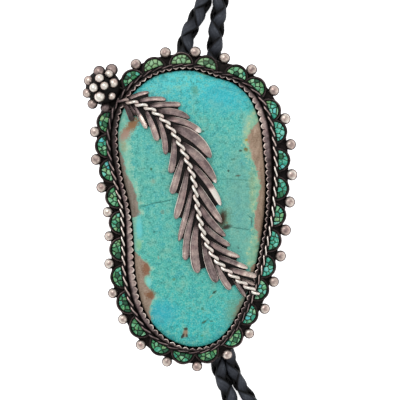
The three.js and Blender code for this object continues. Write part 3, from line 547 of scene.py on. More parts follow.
for side, route in TAIL_ROUTES.items():
    wide, push = TAIL_SQUEEZE[side]
    tail_line, tail_form = braid(
        route, step=0.4, start=0.0 if side == "left" else BRAID_TURN / 4, wide=wide, push=push)
    tail = piece(f"braided_tail_{side}", tail_form, LEATHER, "braided_leather", f"tail_{side}",
                 crease=ROUND_CREASE)
    end, before = Vector(route[-1]), Vector(route[-2])
    heading = Vector((end.x - before.x, end.y - before.y, 0)).normalized()
    axis = Vector((heading.x, heading.y, -(TIP_MOUTH - TIP_END) / TIP_LENGTH)).normalized()
    mouth = end + heading * (FIT_GAP - TIP_SOCKET)
    mouth.z = TIP_MOUTH
    tip_form = Form()
    revolve(tip_form, TIP_PROFILE, mouth, axis, 48)
    tip = piece(f"turned_tip_{side}", tip_form, TIP_METAL, "tip_metal", f"tip_{side}")
    path_steps = round(tail_line.length)
    [tail_line.at(i / path_steps)[0] * MM for i in range(path_steps + 1)]

# ---- lines that the slide is laid out on


def on_stone(across, along):
    """A place by its shares of the stone's half width and half length."""
    return STONE_MIDDLE + Vector((across * STONE_WIDTH / 2, along * STONE_LENGTH / 2))


def outward(heading):
    """The level direction to the left of a heading, which is out of a line that runs clockwise."""
    return Vector((-heading.y, heading.x)).normalized()


stone_edge = Line([(*on_stone(across, along), reach) for across, along, reach in STONE_EDGE], closed=True)


def beside_stone(share, distance, reach_share=0.0):
    """A place outside the stone's visible edge: a distance plus a share of the rim's local reach."""
    place, heading = stone_edge.at(share)
    return place.xy + outward(heading) * (distance + reach_share * place.z * RIM_REACH)


cell_line = Line([(*beside_stone(share, 0, 1), 0) for share in shares(90)], closed=True)


def beside_cells(share, out):
    """A place at a share of the cells' line, and out from it."""
    place, heading = cell_line.at(share)
    return place.xy + outward(heading) * out


CELL_LENGTH = cell_line.length / CELL_COUNT - 2 * CELL_WALL - CELL_APART


def cell_share(cell):
    """The share of the cells' line where a cell's middle is."""
    return CELL_START + (cell + CELL_SHIFTS[cell % CELL_COUNT]) / CELL_COUNT


def bead_share(cell):
    """The share of the cells' line halfway between a cell and the next one."""
    ahead = cell_share(cell + 1) if cell + 1 < CELL_COUNT else cell_share(0) + 1
    return (cell_share(cell) + ahead) / 2


# The distance from the stone's middle to the edge of its dome, by direction.
edge_radii = sorted(
    (math.atan2(p.y, p.x), p.length)
    for p in (beside_stone(share, DOME_OUTSIDE) - STONE_MIDDLE for share in shares(720))
)
edge_angles = [angle for angle, _ in edge_radii]


def dome_at(share):
    """The stone's height at a share of the way from its middle to its edge."""
    return DOME_START + DOME_HEIGHT * (1 - min(1.0, share) ** 2.4) ** 0.6


def dome_over(place):
    """The stone's height at a place."""
    away = place - STONE_MIDDLE
    angle = math.atan2(away.y, away.x)
    i = bisect.bisect(edge_angles, angle) % len(edge_radii)
    (a, ra), (b, rb) = edge_radii[i - 1], edge_radii[i]
    part = ((angle - a) % TAU) / max((b - a) % TAU, 1e-9)
    return dome_at(away.length / mixed(ra, rb, min(part, 1.0)))


def over_stone(place):
    """The underside of what lies over the stone and the teeth."""
    return max(dome_over(place) + FIT_GAP, TEETH_TOP - 0.25)


def cell_place(cell, grow, u, v):
    """A place in a cell's own frame: u along the rim, v outward, both in shares of the half-moon, which is
    larger all round by grow."""
    middle, heading = cell_line.at(cell_share(cell))
    out = outward(heading)
    along = Vector((out.y, -out.x))
    x = u * (CELL_LENGTH / 2 + grow)
    y = -CELL_INNER - grow + v * (CELL_INNER + CELL_OUTER + 2 * grow)
    return middle.xy + along * x + out * y


ARC_STEPS, CHORD_STEPS = 26, 8


def cell_outline(cell, grow):
    """A half-moon: its round side outward, its straight side along the wire ring."""
    arc = [i * math.pi / ARC_STEPS for i in range(ARC_STEPS + 1)]
    round_side = [cell_place(cell, grow, math.cos(angle), math.sin(angle)) for angle in arc]
    straight = [cell_place(cell, grow, -1 + 2 * i / CHORD_STEPS, 0.0) for i in range(1, CHORD_STEPS)]
    return round_side + straight


# ---- the setting

rng = random.Random(7)
SILVER = silver("old_silver")


def silver_piece(name, form, crease=40):
    piece(name, form, SILVER, "silver", "setting", crease=crease)


PLATE_STEPS = 20  # places along the plate's edge for each cell
PLATE_REACH = 1.75  # how far the plate stands outside the cells' line between two cells
PLATE_PAST_WALL = 0.08


def plate_edge(share):
    """How far the plate stands outside the cells' line: it follows the round sides of the cells."""
    reach = PLATE_REACH
    for cell in range(CELL_COUNT):
        gap = (share - cell_share(cell) + 0.5) % 1.0 - 0.5
        u = gap * cell_line.length / (CELL_LENGTH / 2 + CELL_WALL)
        if abs(u) < 1:
            height = (CELL_INNER + CELL_OUTER + 2 * CELL_WALL) * math.sqrt(1 - u * u)
            reach = max(reach, height - CELL_INNER - CELL_WALL + PLATE_PAST_WALL)
    return reach


# From the middle of the plate's underside round its edge to its top: how far in from the edge, height, and
# how bright it is, lighter round its edge where a highlight is painted.
PLATE_SECTION = [
    (18, PLATE_UNDER, 0.5), (9, PLATE_UNDER, 0.5), (2, PLATE_UNDER, 0.5), (0.25, PLATE_UNDER, 0.55),
    (0.05, PLATE_UNDER + 0.12, 0.5), (0, PLATE_UNDER + 0.4, 0.3), (0, PLATE_TOP - 0.3, 0.25),
    (0.06, PLATE_TOP - 0.08, 0.28), (0.2, PLATE_TOP, 0.24), (0.4, PLATE_TOP, 0.12), (9, PLATE_TOP, 0.1),
]
plate_form = Form()
edges = [(share, plate_edge(share)) for share in shares(CELL_COUNT * PLATE_STEPS)]
plate_form.loft([
    [(*beside_cells(share, edge - inset), z, value) for share, edge in edges]
    for inset, z, value in PLATE_SECTION
])
silver_piece("slide_plate", plate_form)

# Round the rim by direction in degrees: how bright the bezel and the wire ring are, and how far
# outside the stone's visible edge the teeth's tips stand.
RIM_ROWS = [
    (-180, 0.58, 0.95, 0.15), (-160, 0.68, 1.0, -0.25), (-125, 0.66, 0.8, -0.35), (-104, 0.4, 0.5, 0.12),
    (-88, 0.3, 0.5, 0.15), (-68, 0.24, 0.5, -0.25), (-45, 0.22, 0.85, 0.1), (-15, 0.24, 1.0, 0.6),
    (8, 0.26, 1.0, 0.35), (25, 0.3, 1.0, -0.1), (37, 0.42, 0.9, -0.4), (47, 0.64, 0.8, -0.4),
    (59, 0.6, 0.6, -0.3), (71, 0.24, 0.4, 0.4), (110, 0.2, 0.45, 0.2), (138, 0.22, 0.5, -0.2),
    (158, 0.38, 0.8, 0.25), (180, 0.58, 0.95, 0.15),
]
BEZEL_BRIGHTNESS, RING_BRIGHTNESS, TIPS_OUT = 1, 2, 3


def rim_at(place, column):
    away = place - STONE_MIDDLE
    return read_off(RIM_ROWS, math.degrees(math.atan2(away.y, away.x)), column)


# The bezel: a wall bent in over the stone, its lip filed into short teeth. Its tips carry a painted highlight,
# and its notches and the lip's underside painted shade.
TEETH, TOOTH_STEPS = 106, 14  # as many teeth as in the photo, where the solid has 92
TOOTH_CUT = 0.66  # depth of the notches between the teeth
TOOTH_ROUND = 0.12  # share of a tooth's half width that its blunt tip takes
LEAST_BAND = 0.35  # width of the bezel's bent part where the notches come nearest to its wall
WALL_INSIDE = STONE_UNDER_BEZEL + FIT_GAP
bezel_form = Form()
rings = []
for i in range(TEETH * TOOTH_STEPS):
    share = i / (TEETH * TOOTH_STEPS)
    across = abs(i % TOOTH_STEPS / TOOTH_STEPS - 0.5) * 2  # 0 in the middle of a tooth, 1 in the notch
    lot = random.Random(i // TOOTH_STEPS)
    short, bright = lot.uniform(0.0, 0.16), lot.uniform(0.8, 1.05)
    flank = max(0.0, (across - TOOTH_ROUND) / (1 - TOOTH_ROUND))
    cut = TOOTH_CUT * mixed(flank, across ** 2, 0.2)
    place, _ = stone_edge.at(share)
    outer = BEZEL_SHARE * place.z * RIM_REACH
    wear_and_light = rim_at(place.xy, BEZEL_BRIGHTNESS)
    lip = min(rim_at(place.xy, TIPS_OUT) + short + cut, outer - LEAST_BAND)
    band = outer - lip
    top = TEETH_TOP - 0.1 * across
    # Tooth tips: a painted highlight, fading to painted shade in the notches.
    edge = bright * mixed(0.86, 1.0, wear_and_light) * (1 - 0.8 * smooth(0.72, 1.0, across))
    rings.append([
        (*beside_stone(share, distance), z, value) for distance, z, value in [
            (outer, PLATE_TOP - 0.25, 0.0),
            (outer, 9.0, 0.03),
            (outer * 0.99, 9.8, wear_and_light * 0.1),
            (outer * 0.94, 10.2, wear_and_light * 0.25),
            (lip + band * 0.75, 10.5, wear_and_light * 0.75),
            (lip + band * 0.5, 10.68, wear_and_light),
            (lip + min(0.42, band * 0.42), top - 0.08, mixed(wear_and_light, edge, 0.12)),
            (lip + min(0.24, band * 0.3), top, mixed(wear_and_light, edge, 0.65)),
            (lip + 0.06, top, edge),
            (lip, top - 0.06, edge * 0.8),
            (lip + 0.02, top - 0.38, 0.0),
            (WALL_INSIDE + 0.15, 9.9, 0.0),
            (WALL_INSIDE, PLATE_TOP - 0.25, 0.0),
        ]
    ])
bezel_form.loft(rings, hoop=True)
silver_piece("saw_tooth_bezel", bezel_form, crease=55)


def twist(form, spots, wire, helix, turns, per_turn, dark, light, hidden, shown, hoop=False, corners=20):
    """Two wires twisted together: wire is a wire's radius and helix that of its winding. spots(share) gives
    middle, heading, size and how bright they are. The wires get painted shade where they face down past
    dark, and a painted highlight where they face up past light. A wire gets painted shade where it lies below
    hidden, as a share of helix, and a painted highlight above shown."""
    count = round(turns * per_turn)
    for phase in (0, math.pi):
        rings = []
        for i in range(count if hoop else count + 1):
            middle, heading, size, shine = spots(i / count)
            side, up = cross_axes(heading)
            angle = TAU * turns * (i / count) + phase
            centre = middle + (side * math.cos(angle) + up * math.sin(angle)) * helix * size
            # Painted highlight on the upper wire, painted shade on the lower one.
            above = smooth(hidden, shown, math.sin(angle))
            low, high = mixed(0.95, dark, above), mixed(1.2, light, above)
            ring = []
            for turn in shares(corners):
                out = side * math.cos(turn * TAU) + up * math.sin(turn * TAU)
                ring.append((*(centre + out * wire * size), shine * smooth(low, high, math.sin(turn * TAU))))
            rings.append(ring)
        form.loft(rings, hoop)


RING_SHARE = 0.6  # of the rim's reach, where the wire ring lies
RING_LIFT = 0.4  # of its middle above the cells
RING_PITCH = 6.3


def ring_spot(share):
    place, heading = stone_edge.at(share)
    tight = smooth(0.0, 1.0, (0.9 - place.z) / 0.28)  # 1 where the rim is narrow
    out = beside_stone(share, 0, RING_SHARE - 0.1 * tight)
    middle = Vector((*out, CELL_TOP + RING_LIFT - 0.15 * tight))
    return middle, Vector((*heading.xy, 0)).normalized(), 1 - 0.3 * tight, rim_at(place.xy, RING_BRIGHTNESS)


ring_form = Form()
ring_middle = Line([(*beside_stone(share, 0, RING_SHARE), 0) for share in shares(60)], closed=True)
twist(ring_form, ring_spot, wire=0.38, helix=0.35, turns=round(ring_middle.length / RING_PITCH), per_turn=22,
      dark=0.62, light=0.92, hidden=-0.3, shown=0.4, hoop=True)
silver_piece("twisted_ring", ring_form, crease=70)

# Cell walls: strips bent to half-moons, black with a thin painted highlight along their outer edge. A row of
# the wall is how far out of the inlay's edge it lies, height, and how bright it is.
cells_form = Form()
for cell in range(CELL_COUNT):
    gleam = random.Random(cell).uniform(0.25, 0.62)
    wall = [
        (-0.2, PLATE_TOP - 0.2, 0.0), (-0.2, CELL_TOP - 0.4, 0.02), (-0.15, CELL_TOP - 0.1, 0.12),
        (-0.02, CELL_TOP, 0.2), (0.16, CELL_TOP + 0.02, 0.16), (0.32, CELL_TOP - 0.03, gleam * 0.7),
        (0.44, CELL_TOP - 0.14, gleam), (0.53, CELL_TOP - 0.3, gleam * 0.6),
        (CELL_WALL, CELL_TOP - 0.6, 0.12), (CELL_WALL, PLATE_TOP - 0.2, 0.05),
    ]
    rings = [[(*p, z, value) for p in cell_outline(cell, grow)] for grow, z, value in wall]
    cells_form.loft(rings, hoop=True)
silver_piece("cell_walls", cells_form, crease=50)


# A bead from its foot to its top, by the share of its height that faces up: how bright it is painted, dark
# at its foot with tarnish and painted shade, a painted highlight round its shoulder, and a duller top where
# a dark reflection is painted.
BEAD_LIGHT = [
    (-1.0, 0.1), (0.26, 0.04), (0.42, 0.26), (0.56, 0.76), (0.72, 1.02), (0.88, 0.96), (0.95, 0.82),
    (1.0, 0.74),
]
BEAD_LAYERS, BEAD_CORNERS = 20, 30
BERRY_SWELL = 1.08  # the berries' size as a share of their rows'


def ball(form, centre, radius, shine, crown=0.0):
    """A round bead, painted dark at its foot, with a painted highlight round its shoulder, and no duller than
    crown on its top.
    """
    profile = []
    for i in range(BEAD_LAYERS + 1):
        angle = -math.pi / 2 + math.pi * i / BEAD_LAYERS
        facing = math.sin(angle)
        value = max(read_off(BEAD_LIGHT, facing, 1), crown * smooth(0.5, 0.75, facing))
        profile.append((radius * math.cos(angle), radius * math.sin(angle), value * shine))
    revolve(form, profile, centre, UP, BEAD_CORNERS)


bead_form = Form()
for cell, (shift, out) in enumerate(BEADS):
    place = beside_cells(bead_share(cell) + shift / CELL_COUNT, out)
    toward = (place - STONE_MIDDLE).normalized()
    # They are a little larger toward the upper right.
    size = BEAD_DIAMETER / 2 * (1.0 + 0.05 * (toward.x * 0.6 + toward.y * 0.8)) * rng.uniform(0.97, 1.03)
    ball(bead_form, Vector((*place, PLATE_TOP + BEAD_LIFT)), size, rng.uniform(0.82, 0.96))
silver_piece("edge_beads", bead_form)

berry_form = Form()
foot = Vector((*on_stone(*BERRY_PLACE), 0))
base_profile = [(0, PLATE_UNDER, 0.4), (BERRY_BASE_RADIUS - 0.2, PLATE_UNDER, 0.4),
                (BERRY_BASE_RADIUS, PLATE_UNDER + 0.2, 0.3)]
for i in range(13):
    angle = math.pi / 2 * i / 12
    height = PLATE_TOP + 1 + (BERRY_BASE_HEIGHT - 1) * math.sin(angle)
    base_profile.append((BERRY_BASE_RADIUS * math.cos(angle), height, 0.04))
revolve(berry_form, base_profile, foot, UP, 48)
for across, along, lift, size, shine in BERRIES:
    centre = foot + Vector((across * BERRY_RADIUS, along * BERRY_RADIUS, PLATE_TOP + lift * BERRY_RADIUS))
    ball(berry_form, centre, size * BEAD_DIAMETER / 2 * BERRY_SWELL, shine, 1.02)
silver_piece("berry_cluster", berry_form)

# The feather

STEM_PITCH = 5.8
STEM_LIFT = 0.8  # of its middle above what lies under it
stem_line = Line([(*on_stone(across, along), 0) for across, along in STEM])


def stem_place(share):
    return stem_line.at(share)[0].xy


def stem_spot(share):
    place, heading = stem_line.at(share)
    ends = min(smooth(-0.01, 0.03, share), smooth(1.005, 0.985, share))
    middle = Vector((*place.xy, over_stone(place.xy) + STEM_LIFT))
    return middle, heading, mixed(0.55, 1.0, ends), mixed(0.5, 1.0, smooth(0.0, 0.07, share))


stem_form = Form()
twist(stem_form, stem_spot, wire=0.53, helix=0.46, turns=stem_line.length / STEM_PITCH, per_turn=24,
      dark=-0.2, light=0.35, hidden=-0.8, shown=0.6)
silver_piece("feather_stem", stem_form, crease=70)

# Across a blade, from its edge with a painted highlight to its edge in painted shade: place in shares of the
# half width, height in shares of the ridge, and how bright it is.
BLADE_ACROSS = [
    (1.0, 0.4, 0.3), (0.99, 0.85, 0.8), (0.93, 1.04, 1.02), (0.84, 1.0, 0.88), (0.75, 0.84, 0.54),
    (0.5, 0.74, 0.6), (0.2, 0.66, 0.6), (-0.15, 0.6, 0.62), (-0.5, 0.58, 0.56), (-0.78, 0.62, 0.6),
    (-0.9, 0.56, 0.62), (-0.97, 0.4, 0.3), (-1.0, 0.1, 0.0),
]
BLADE_STEPS = 30


def blade_line(row):
    """A blade's middle line, as a function from share of length to place and left side, and its half width."""
    at, across, along, bow, wide, *_ = row
    root, tip = stem_place(at), on_stone(across, along)
    run = tip - root
    bend = (root + tip) / 2 + Vector((-run.y, run.x)) * 2 * bow

    def spot_on(t):
        place = root * (1 - t) ** 2 + bend * 2 * t * (1 - t) + tip * t * t
        tangent = ((bend - root) * (1 - t) + (tip - bend) * t).normalized()
        return place, Vector((-tangent.y, tangent.x))

    return spot_on, wide * BLADE_WIDTH / 2


def blade(form, row, bright_side):
    """A blade that lies over the stone, with a painted highlight on its left (1) or right (-1) edge, painted
    shade on the other edge and toward the stem, and a painted glint toward its end.
    """
    spot_on, half_width = blade_line(row)
    taper, glint, lit_from = row[5:]
    streaks = [rng.uniform(-0.07, 0.07) for _ in BLADE_ACROSS]
    widest = 0.4 if bright_side > 0 else 0.72  # the share of its length from which it is full wide
    rings = []
    for i in range(BLADE_STEPS + 1):
        t = 1 - (1 - i / BLADE_STEPS) ** 1.5
        place, left = spot_on(t)
        end = max(0.0, (t - 1 + taper) / taper)
        close = (1 - end ** 2.4) ** 0.5
        half = half_width * mixed(0.42, 1.0, smooth(-0.1, widest, t)) * max(close, 0.04)
        crest = BLADE_RIDGE * mixed(0.55, 1.0, smooth(0, 0.35, t)) * mixed(0.6, 1.0, close ** 0.5)
        root_shade = mixed(0.3, 1.0, smooth(-0.05, 0.36, t))
        # A painted glint toward the blade's end.
        tip_light = glint * smooth(lit_from - 0.05, lit_from + 0.06, t)
        ring = []
        for (across, height, value), streak in zip(BLADE_ACROSS, streaks):
            at = place + left * (across * half * bright_side)
            shade = (value + streak) * root_shade + tip_light * smooth(-1.05, -0.8, across)
            ring.append((*at, over_stone(at) + crest * height, shade))
        for across in (-1.0, -0.4, 0.4, 1.0):
            at = place + left * (across * half * bright_side)
            ring.append((*at, over_stone(at) - 0.02, 0.0))
        rings.append(ring)
    form.loft(rings)


blades_form = Form()
for rows, bright_side in ((UPPER_BLADES, 1), (LOWER_BLADES, -1)):
    for row in rows:
        blade(blades_form, row, bright_side)

# A thin black web joins each blade to the stem and to the next blade, nearly as far as the end of the
# shorter one: painted shade in the gaps between them, with some solder and tarnish.
WEB_STEPS, WEB_END = 20, 0.95
WEB_TOP, WEB_UNDER = 0.22, -0.03  # from the underside of what lies over the stone
STEM_WEB, BLADE_WEB = 2.3, 1.7  # how wide it gets beside the stem and between blades, on top of their widths


def nearest(line, place):
    """The share of a line that lies nearest to a place."""
    return min((i / 60 for i in range(61)), key=lambda t: (line(t)[0] - place).length)


def end_gap(one, two):
    """How far the end of a line is from another line."""
    end = one(1)[0]
    return (two(nearest(two, end))[0] - end).length


def shade_web(one, two, widest, sure):
    """A black sheet of painted shade from one line to the nearest places of another, until they part by more
    than widest. It runs over the first sure share of the line in any case."""
    rings = []
    for i in range(WEB_STEPS + 1):
        t = WEB_END * i / WEB_STEPS
        start = one(t)[0]
        end = two(nearest(two, start) * min(1, t / 0.25))[0]
        if t > sure and (end - start).length > widest:
            break
        across = [start.lerp(end, part) for part in (0, 0.33, 0.67, 1)]
        rings.append([(*at, over_stone(at) + WEB_TOP, 0.0) for at in across]
                     + [(*at, over_stone(at) + WEB_UNDER, 0.0) for at in reversed(across)])
    blades_form.loft(rings)


for rows in (UPPER_BLADES, LOWER_BLADES):
    for row in rows:
        line, half = blade_line(row)
        shade_web(line, lambda t, at=row[0]: (stem_place(min(1.0, at + 0.3 * t)), None), half + STEM_WEB, 0.2)
    for row, following in zip(rows, rows[1:]):
        (one, half_one), (two, half_two) = blade_line(row), blade_line(following)
        if end_gap(one, two) > end_gap(two, one):
            one, two = two, one
        shade_web(one, two, half_one + half_two + BLADE_WEB, 0.42)
silver_piece("feather_blades", blades_form, crease=48)

# ---- the turquoise


# The stone's colour along it, from its lower end to its upper end in millimetres.
STONE_COLOURS = [
    (-42, "3dc1bb"), (-36, "38c3c3"), (-28, "4ac1b7"), (-18, "56bfb0"), (-8, "5cc1b4"), (4, "61bfb0"),
    (16, "5ec0b4"), (26, "51c6be"), (31, "42cbd1"), (36, "52dbdf"), (40, "60e4e7"),
]
# Where the brown matrix and its pale fringe end toward the stone's middle, at the right and the left edge:
# rows of y and x in millimetres.
TAN_RIGHT = [
    (-24.6, 18.6), (-23.1, 16.8), (-21.6, 15.0), (-19.8, 15.3), (-18.6, 17.4), (-16.5, 18.6), (-13.5, 18.6),
    (-11.6, 17.6), (-9.3, 17.2), (-8.4, 16.1), (-5.9, 16.3), (-3.4, 16.7), (-0.9, 17.1), (1.5, 17.6),
    (4.0, 18.2), (6.6, 17.7), (8.4, 17.2), (10.5, 16.5), (12.3, 15.6), (15.6, 14.8), (18.7, 14.2),
    (21.0, 15.1), (22.8, 16.8), (24.6, 18.6), (25.8, 19.2),
]
FRINGE_RIGHT = [
    (-25.5, 16.8), (-22.5, 15.4), (-20.4, 14.2), (-18.0, 14.2), (-15.0, 14.9), (-12.0, 15.5), (-9.0, 15.5),
    (-6.6, 15.8), (-4.5, 15.8), (-1.5, 15.6), (1.5, 16.1), (4.5, 16.1), (7.5, 16.3), (10.5, 15.9),
    (12.6, 14.4), (15.0, 12.9), (18.0, 12.8), (21.0, 14.0), (24.0, 14.8), (26.1, 15.2), (27.6, 15.9),
    (30.6, 19.2),
]
FRINGE_LEFT = [
    (-39.0, -16.2), (-36.6, -14.4), (-33.6, -14.5), (-30.9, -13.9), (-29.1, -12.9), (-27.0, -14.1),
    (-25.2, -15.0), (-24.0, -15.3), (-22.5, -14.8), (-19.9, -14.4), (-18.6, -16.1), (-16.8, -18.0),
    (-15.3, -18.6), (-14.7, -17.7), (-12.0, -17.4), (-11.7, -18.1), (-7.5, -18.1), (-5.4, -17.7),
    (-3.0, -17.4), (0.0, -18.0), (3.0, -18.4), (5.4, -19.2), (8.4, -20.2), (11.1, -20.6), (13.5, -20.4),
    (16.5, -20.4), (19.5, -20.7), (24.0, -21.9), (26.4, -22.8), (29.4, -25.2),
]
TAN_LEFT = [
    (-38.1, -18.6), (-37.2, -15.6), (-36.2, -14.7), (-32.9, -15.1), (-30.8, -14.7), (-28.9, -13.6),
    (-26.1, -15.4), (-24.7, -16.6), (-22.8, -16.6), (-22.1, -15.1), (-19.9, -15.1), (-18.2, -17.0),
    (-16.5, -18.4), (-15.5, -19.4), (-14.7, -21.0), (-5.4, -21.0), (-4.8, -18.1), (-2.9, -18.2),
    (-0.9, -18.6), (1.9, -19.2), (4.5, -20.2), (7.5, -21.8), (10.5, -22.6), (13.8, -23.3), (15.6, -24.9),
]
# Clouds under the matrix: place, half width, half length, turn in degrees, softness, strength, colour.
STONE_CLOUDS = [
    (14.6, 21.0, 1.6, 4.0, 0, 0.6, 0.6, "b5d3b0"),
    (15.6, 3.0, 0.9, 7.0, 0, 0.6, 0.45, "a5ae6c"),
    (15.3, -16.0, 1.8, 4.0, 10, 0.6, 0.5, "8fcdb0"),
    (-12.0, -33.9, 4.2, 3.4, 0, 0.8, 0.55, "36b4cc"),
    (9.9, -33.0, 2.0, 4.2, -20, 0.8, 0.6, "74a486"),
    (-21.8, 26.0, 1.6, 3.2, -10, 0.7, 0.5, "8fd2bd"),
    (11.5, -4.0, 4.2, 17.0, 0, 0.6, 0.4, "80ad9c"),
    (6.5, 30.5, 6.0, 4.0, -12, 0.8, 0.5, "38bfcf"),
]
# Ragged stains on top of the matrix, with the same columns.
STONE_STAINS = [
    (-20.6, 22.2, 1.3, 3.6, -46, 0.5, 0.95, "96683f"),
    (-22.6, 19.3, 1.3, 2.4, -40, 0.6, 0.85, "b39080"),
    (-22.9, 16.0, 0.9, 1.6, 0, 0.7, 0.6, "a9a078"),
    (-16.1, -20.8, 1.05, 2.1, 10, 0.6, 0.8, "8a5a3c"),
    (-15.0, -28.3, 1.4, 1.05, 20, 0.7, 0.85, "845534"),
    (12.2, -31.6, 0.9, 4.8, -25, 0.7, 0.7, "94795c"),
]
# Small marks, with the same columns.
STONE_MARKS = [
    (6.7, -6.0, 2.1, 3.4, -12, 0.7, 0.6, "6a7a54"),
    (6.6, -5.7, 1.1, 2.5, -14, 0.6, 0.97, "40291a"),
    (7.9, -8.1, 1.3, 0.7, 12, 0.6, 0.95, "38241a"),
    (8.0, -6.8, 0.45, 0.4, 0, 0.6, 0.6, "7c6a48"),
    (-18.2, -8.4, 0.9, 3.5, 2, 0.5, 0.8, "6cd4d6"),
    (-18.3, -13.3, 0.78, 1.5, 0, 0.6, 0.7, "86c694"),
    (-15.3, -24.3, 0.66, 1.35, 10, 0.5, 0.8, "86dcd6"),
    (-4.4, -39.9, 0.72, 1.3, -12, 0.4, 0.9, "a3866c"),
    (-4.3, -38.6, 0.66, 0.42, 0, 0.45, 0.9, "3d3226"),
    (-5.2, -40.8, 0.42, 0.8, -35, 0.4, 0.9, "322822"),
    (-3.9, -40.7, 0.3, 0.48, 0, 0.5, 0.8, "4a3a2c"),
    (-1.6, 33.0, 0.96, 1.44, 8, 0.6, 0.6, "569678"),
    (1.3, -36.5, 0.9, 0.33, 30, 0.5, 0.85, "3f5a3c"),
    (3.4, -36.3, 0.6, 0.24, 0, 0.5, 0.7, "3f6a54"),
    (0.7, -32.5, 0.42, 0.36, 0, 0.6, 0.8, "2f7a5e"),
    (-3.0, -32.5, 0.42, 0.24, 0, 0.6, 0.6, "3f8a70"),
    (0.6, -40.6, 0.39, 0.3, 0, 0.6, 0.6, "3a8f5c"),
    (4.3, -27.6, 0.8, 0.3, 40, 0.5, 0.9, "27402f"),
    (3.3, -28.9, 0.66, 0.24, 50, 0.6, 0.6, "a9b98a"),
    (-7.8, -23.8, 0.57, 0.42, 0, 0.6, 0.7, "5f8a58"),
    (11.5, -14.4, 0.3, 0.24, 0, 0.5, 0.7, "2f5a50"),
    (8.5, 8.7, 0.36, 0.36, 0, 0.5, 0.85, "27403a"),
    (11.4, 7.3, 0.8, 0.26, 12, 0.5, 0.8, "5c5238"),
    (10.1, 12.2, 0.9, 0.24, 0, 0.6, 0.6, "3f7a68"),
    (3.3, 11.5, 0.6, 0.6, 0, 0.7, 0.5, "2f6a58"),
    (1.0, 20.5, 0.36, 0.3, 0, 0.5, 0.8, "2a5a4c"),
    (11.9, 23.8, 0.42, 0.27, 0, 0.6, 0.6, "3a7a78"),
    (13.9, 18.0, 0.5, 0.4, 0, 0.5, 0.9, "b5963c"),
    (13.7, 15.1, 0.6, 0.45, -20, 0.5, 0.9, "7a6a30"),
    (12.1, 14.8, 0.42, 0.3, 0, 0.5, 0.85, "2f4a3c"),
    (-14.6, 9.3, 0.4, 0.45, 0, 0.5, 0.85, "3a6a44"),
    (-14.0, 5.6, 0.69, 0.66, 0, 0.7, 0.45, "a9b89c"),
    (-11.2, -3.5, 0.54, 0.63, 0, 0.35, 0.55, "7d8474"),
    (-11.2, -3.4, 0.24, 0.33, 0, 0.4, 0.6, "4f9c94"),
    (-15.1, -6.8, 0.3, 0.27, 0, 0.6, 0.6, "2f6e64"),
    (-13.7, -9.6, 0.36, 0.36, 0, 0.6, 0.7, "2f6e64"),
    (-12.1, -9.6, 0.3, 0.27, 0, 0.6, 0.6, "2f7a6e"),
    (-12.4, -17.2, 0.27, 0.54, 0, 0.6, 0.5, "a8a890"),
    (-10.9, 6.5, 0.8, 0.33, -5, 0.8, 0.5, "3a8078"),
    (2.1, 37.7, 2.85, 0.24, -13, 0.6, 0.6, "a3bd72"),
    (8.4, 33.5, 3.3, 0.16, -9, 0.7, 0.6, "2f9dae"),
    (9.9, 32.7, 2.1, 0.14, -12, 0.7, 0.5, "2f9dae"),
    (-16.4, -1.6, 1.45, 0.15, 14, 0.7, 0.8, "2c6f66"),
    (-13.3, -0.9, 2.07, 0.15, 10, 0.7, 0.8, "2c6f66"),
    (-9.8, -0.2, 1.78, 0.15, 15, 0.7, 0.8, "2c6f66"),
    (-17.8, -0.3, 0.13, 1.95, 1, 0.7, 0.45, "3c7c70"),
    (7.9, 6.3, 2.45, 0.13, 0, 0.7, 0.7, "2c7a6e"),
    (12.6, 6.0, 2.57, 0.13, -7, 0.7, 0.6, "3c7a6a"),
    (11.9, -8.5, 3.17, 0.14, -8, 0.7, 0.75, "24645c"),
    (15.0, -5.1, 0.88, 0.15, -38, 0.7, 0.75, "2c5a4c"),
    (15.4, -6.7, 0.15, 1.28, -4, 0.7, 0.75, "3c5a4c"),
]


EDGE_LOW, EDGE_SPAN = -26, 48  # the range of x of the lines above


